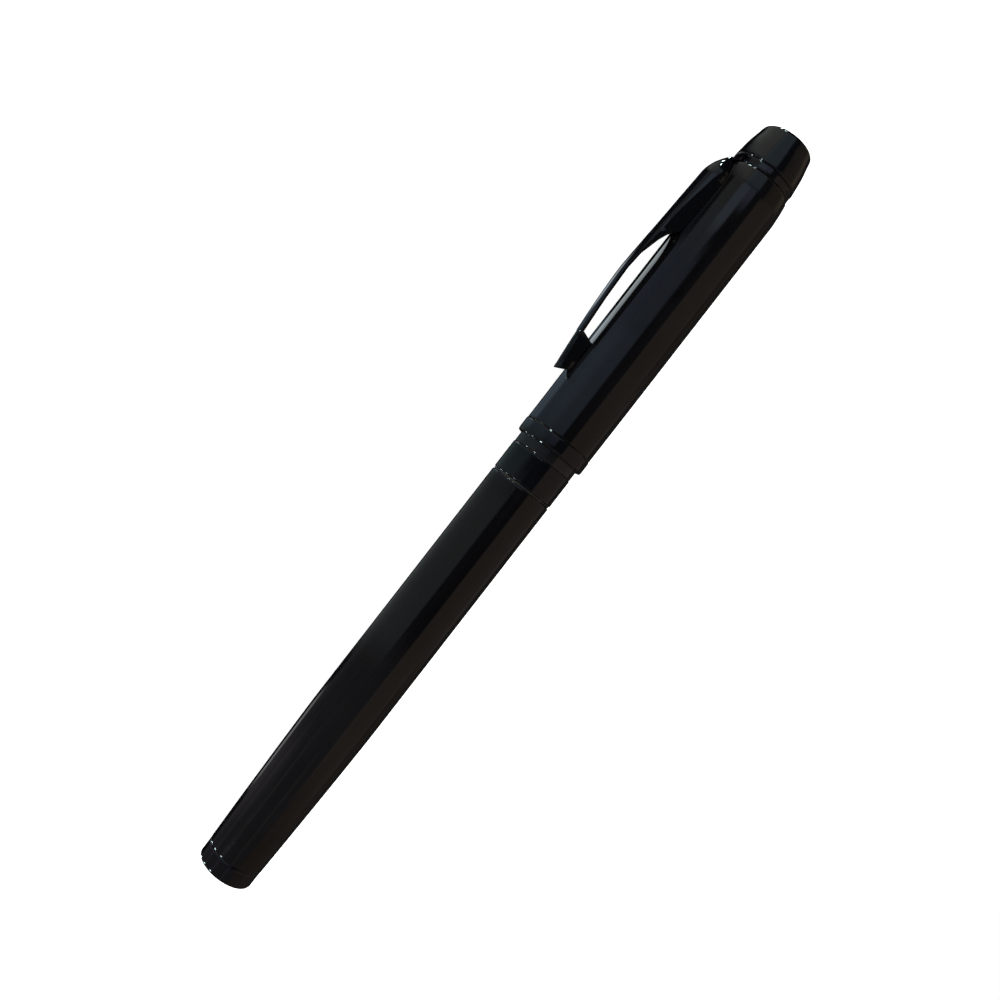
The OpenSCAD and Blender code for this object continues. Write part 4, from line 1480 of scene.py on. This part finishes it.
@dataclass
class Studio:
    """A pale floor, a light tent round the pen, a few small lamps and the camera."""

    axis: PenAxis
    floor_size: float = 6.0
    view_roll: float = 24.0
    camera_range: float = 0.15
    camera_turn: float = 52.14
    aim_x: float = 0.0002
    aim_across: float = 0.00135
    floor_gap: float = 0.00002
    floor_glow: float = 0.9

    @property
    def facing(self) -> Vector:
        """Direction from the pen to the camera, turned a little towards the clip's top."""
        roll = math.radians(self.view_roll)
        return self.axis.facing * math.cos(roll) + self.axis.across * math.sin(roll)

    @property
    def across(self) -> Vector:
        """Direction across the pen in the camera's view, towards the clip."""
        roll = math.radians(self.view_roll)
        return self.axis.across * math.cos(roll) - self.axis.facing * math.sin(roll)

    def direction(self, arc: float, along: float) -> Vector:
        """Unit direction from angles round and along the pen."""
        a, b = math.radians(arc), math.radians(along)
        return (self.facing * math.cos(a) + self.across * math.sin(a)) * math.cos(b) \
            + Vector((math.sin(b), 0, 0))

    def build(self) -> None:
        """Makes everything round the pen."""
        scene = bpy.context.scene
        scene.view_settings.view_transform = "Standard"
        self.camera(scene)
        self.floor(scene)
        self.tent(scene)
        for lamp in LAMPS:
            self.lamp(scene, lamp)

    def camera(self, scene: bpy.types.Scene) -> None:
        """Looks down on the pen and a little along its clip's rise, crown to the upper right."""
        data = bpy.data.cameras.new("camera")
        data.lens, data.sensor_width = 36.0, 36.0
        data.clip_start, data.clip_end = 0.005, 20.0
        camera = bpy.data.objects.new("camera", data)
        scene.collection.objects.link(camera)
        turn, along = math.radians(self.camera_turn), Vector((1, 0, 0))
        right = along * math.cos(turn) - self.across * math.sin(turn)
        up = along * math.sin(turn) + self.across * math.cos(turn)
        eye = (Vector((self.aim_x, self.axis.y, self.axis.z)) + self.across * self.aim_across
               + self.facing * self.camera_range)
        rows = [(*v, 0) for v in (right, up, self.facing)] + [(0, 0, 0, 1)]
        camera.matrix_world = Matrix.Translation(eye) @ Matrix(rows).transposed()
        scene.camera = camera

    def floor(self, scene: bpy.types.Scene) -> None:
        """A plain pale floor, lit evenly, which gloss doesn't show."""
        bm = bmesh.new()
        bmesh.ops.create_grid(bm, x_segments=1, y_segments=1, size=self.floor_size / 2)
        mesh = bpy.data.meshes.new("floor")
        bm.to_mesh(mesh)
        bm.free()
        floor = bpy.data.objects.new("floor", mesh)
        floor.location.z = -self.floor_gap
        scene.collection.objects.link(floor)
        paint = bpy.data.materials.new("pale_floor")
        paint.use_nodes = True
        shader = paint.node_tree.nodes["Principled BSDF"]
        shader.inputs["Base Color"].default_value = (0.9, 0.9, 0.9, 1)
        shader.inputs["Roughness"].default_value = 0.9
        shader.inputs["Specular IOR Level"].default_value = 0.0
        shader.inputs["Emission Color"].default_value = (1, 1, 1, 1)
        shader.inputs["Emission Strength"].default_value = self.floor_glow
        mesh.materials.append(paint)
        floor.visible_glossy = False
        floor.visible_shadow = False

    def tent(self, scene: bpy.types.Scene) -> None:
        """A white room for plain light, with panels that only gloss shows."""
        world = bpy.data.worlds.new("light_tent")
        scene.world = world
        world.use_nodes = True
        world.cycles.sampling_method = "NONE"
        world.node_tree.nodes.clear()
        s = Sketch(world.node_tree)
        way = s.add("ShaderNodeTexCoord").outputs["Generated"]
        facing = s.vector("DOT_PRODUCT", way, tuple(self.facing)).outputs["Value"]
        across = s.vector("DOT_PRODUCT", way, tuple(self.across)).outputs["Value"]
        crown = s.add("ShaderNodeSeparateXYZ", {0: way}).outputs[0]
        arc = s.math("DEGREES", s.math("ARCTAN2", across, facing))
        along = s.math("DEGREES", s.math("ARCSINE", crown))
        total = None
        for panel in PANELS:
            mask = s.math("MULTIPLY", self.window(s, arc, panel.arc, panel.soft),
                          self.window(s, along, panel.along, panel.along_soft))
            lit = s.vector("SCALE", panel.colour)
            s.tree.links.new(mask, lit.inputs["Scale"])
            light = lit.outputs[0]
            total = light if total is None else s.vector("ADD", total, light).outputs[0]
        gloss = s.add("ShaderNodeLightPath").outputs["Is Glossy Ray"]
        tint = s.blend(gloss, (1, 1, 1, 1), total)
        light = s.add("ShaderNodeBackground", {"Color": tint, "Strength": 1.0})
        s.add("ShaderNodeOutputWorld", {"Surface": light.outputs[0]})

    @staticmethod
    def window(s: Sketch, angle: bpy.types.NodeSocket, limits: tuple[float, float],
               soft: float) -> bpy.types.NodeSocket:
        """One inside two angles, with soft edges."""
        low, high = limits
        return s.math("SUBTRACT", s.step(angle, low - soft, low + soft),
                      s.step(angle, high - soft, high + soft))

    def lamp(self, scene: bpy.types.Scene, lamp: Lamp) -> None:
        """Hangs one small lamp, which the camera doesn't see."""
        data = bpy.data.lights.new(lamp.name, "AREA")
        data.shape, data.size = "DISK", lamp.size * 2
        data.color = lamp.colour
        data.energy = lamp.radiance * math.pi ** 2 * lamp.size ** 2
        way = self.direction(lamp.arc, lamp.along)
        rig = bpy.data.objects.new(lamp.name, data)
        rig.location = way * lamp.distance
        rig.rotation_mode = "QUATERNION"
        rig.rotation_quaternion = (-way).to_track_quat("-Z", "Y")
        rig.visible_camera = False
        rig.visible_diffuse = False
        scene.collection.objects.link(rig)


def main() -> None:
    """Builds the studio and the pen, and reports each piece."""
    logging.basicConfig(level=logging.INFO, format="%(message)s")
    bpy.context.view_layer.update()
    axis = PenAxis.of_model()
    Studio(axis).build()
    shop = Workshop(axis)
    for kind in (Barrel, Seal, Section, Refill, ClutchRing, Cap, PocketClip):
        group = kind(shop)
        group.build()
        group.dress_all()


if __name__ == "__main__":
    main()
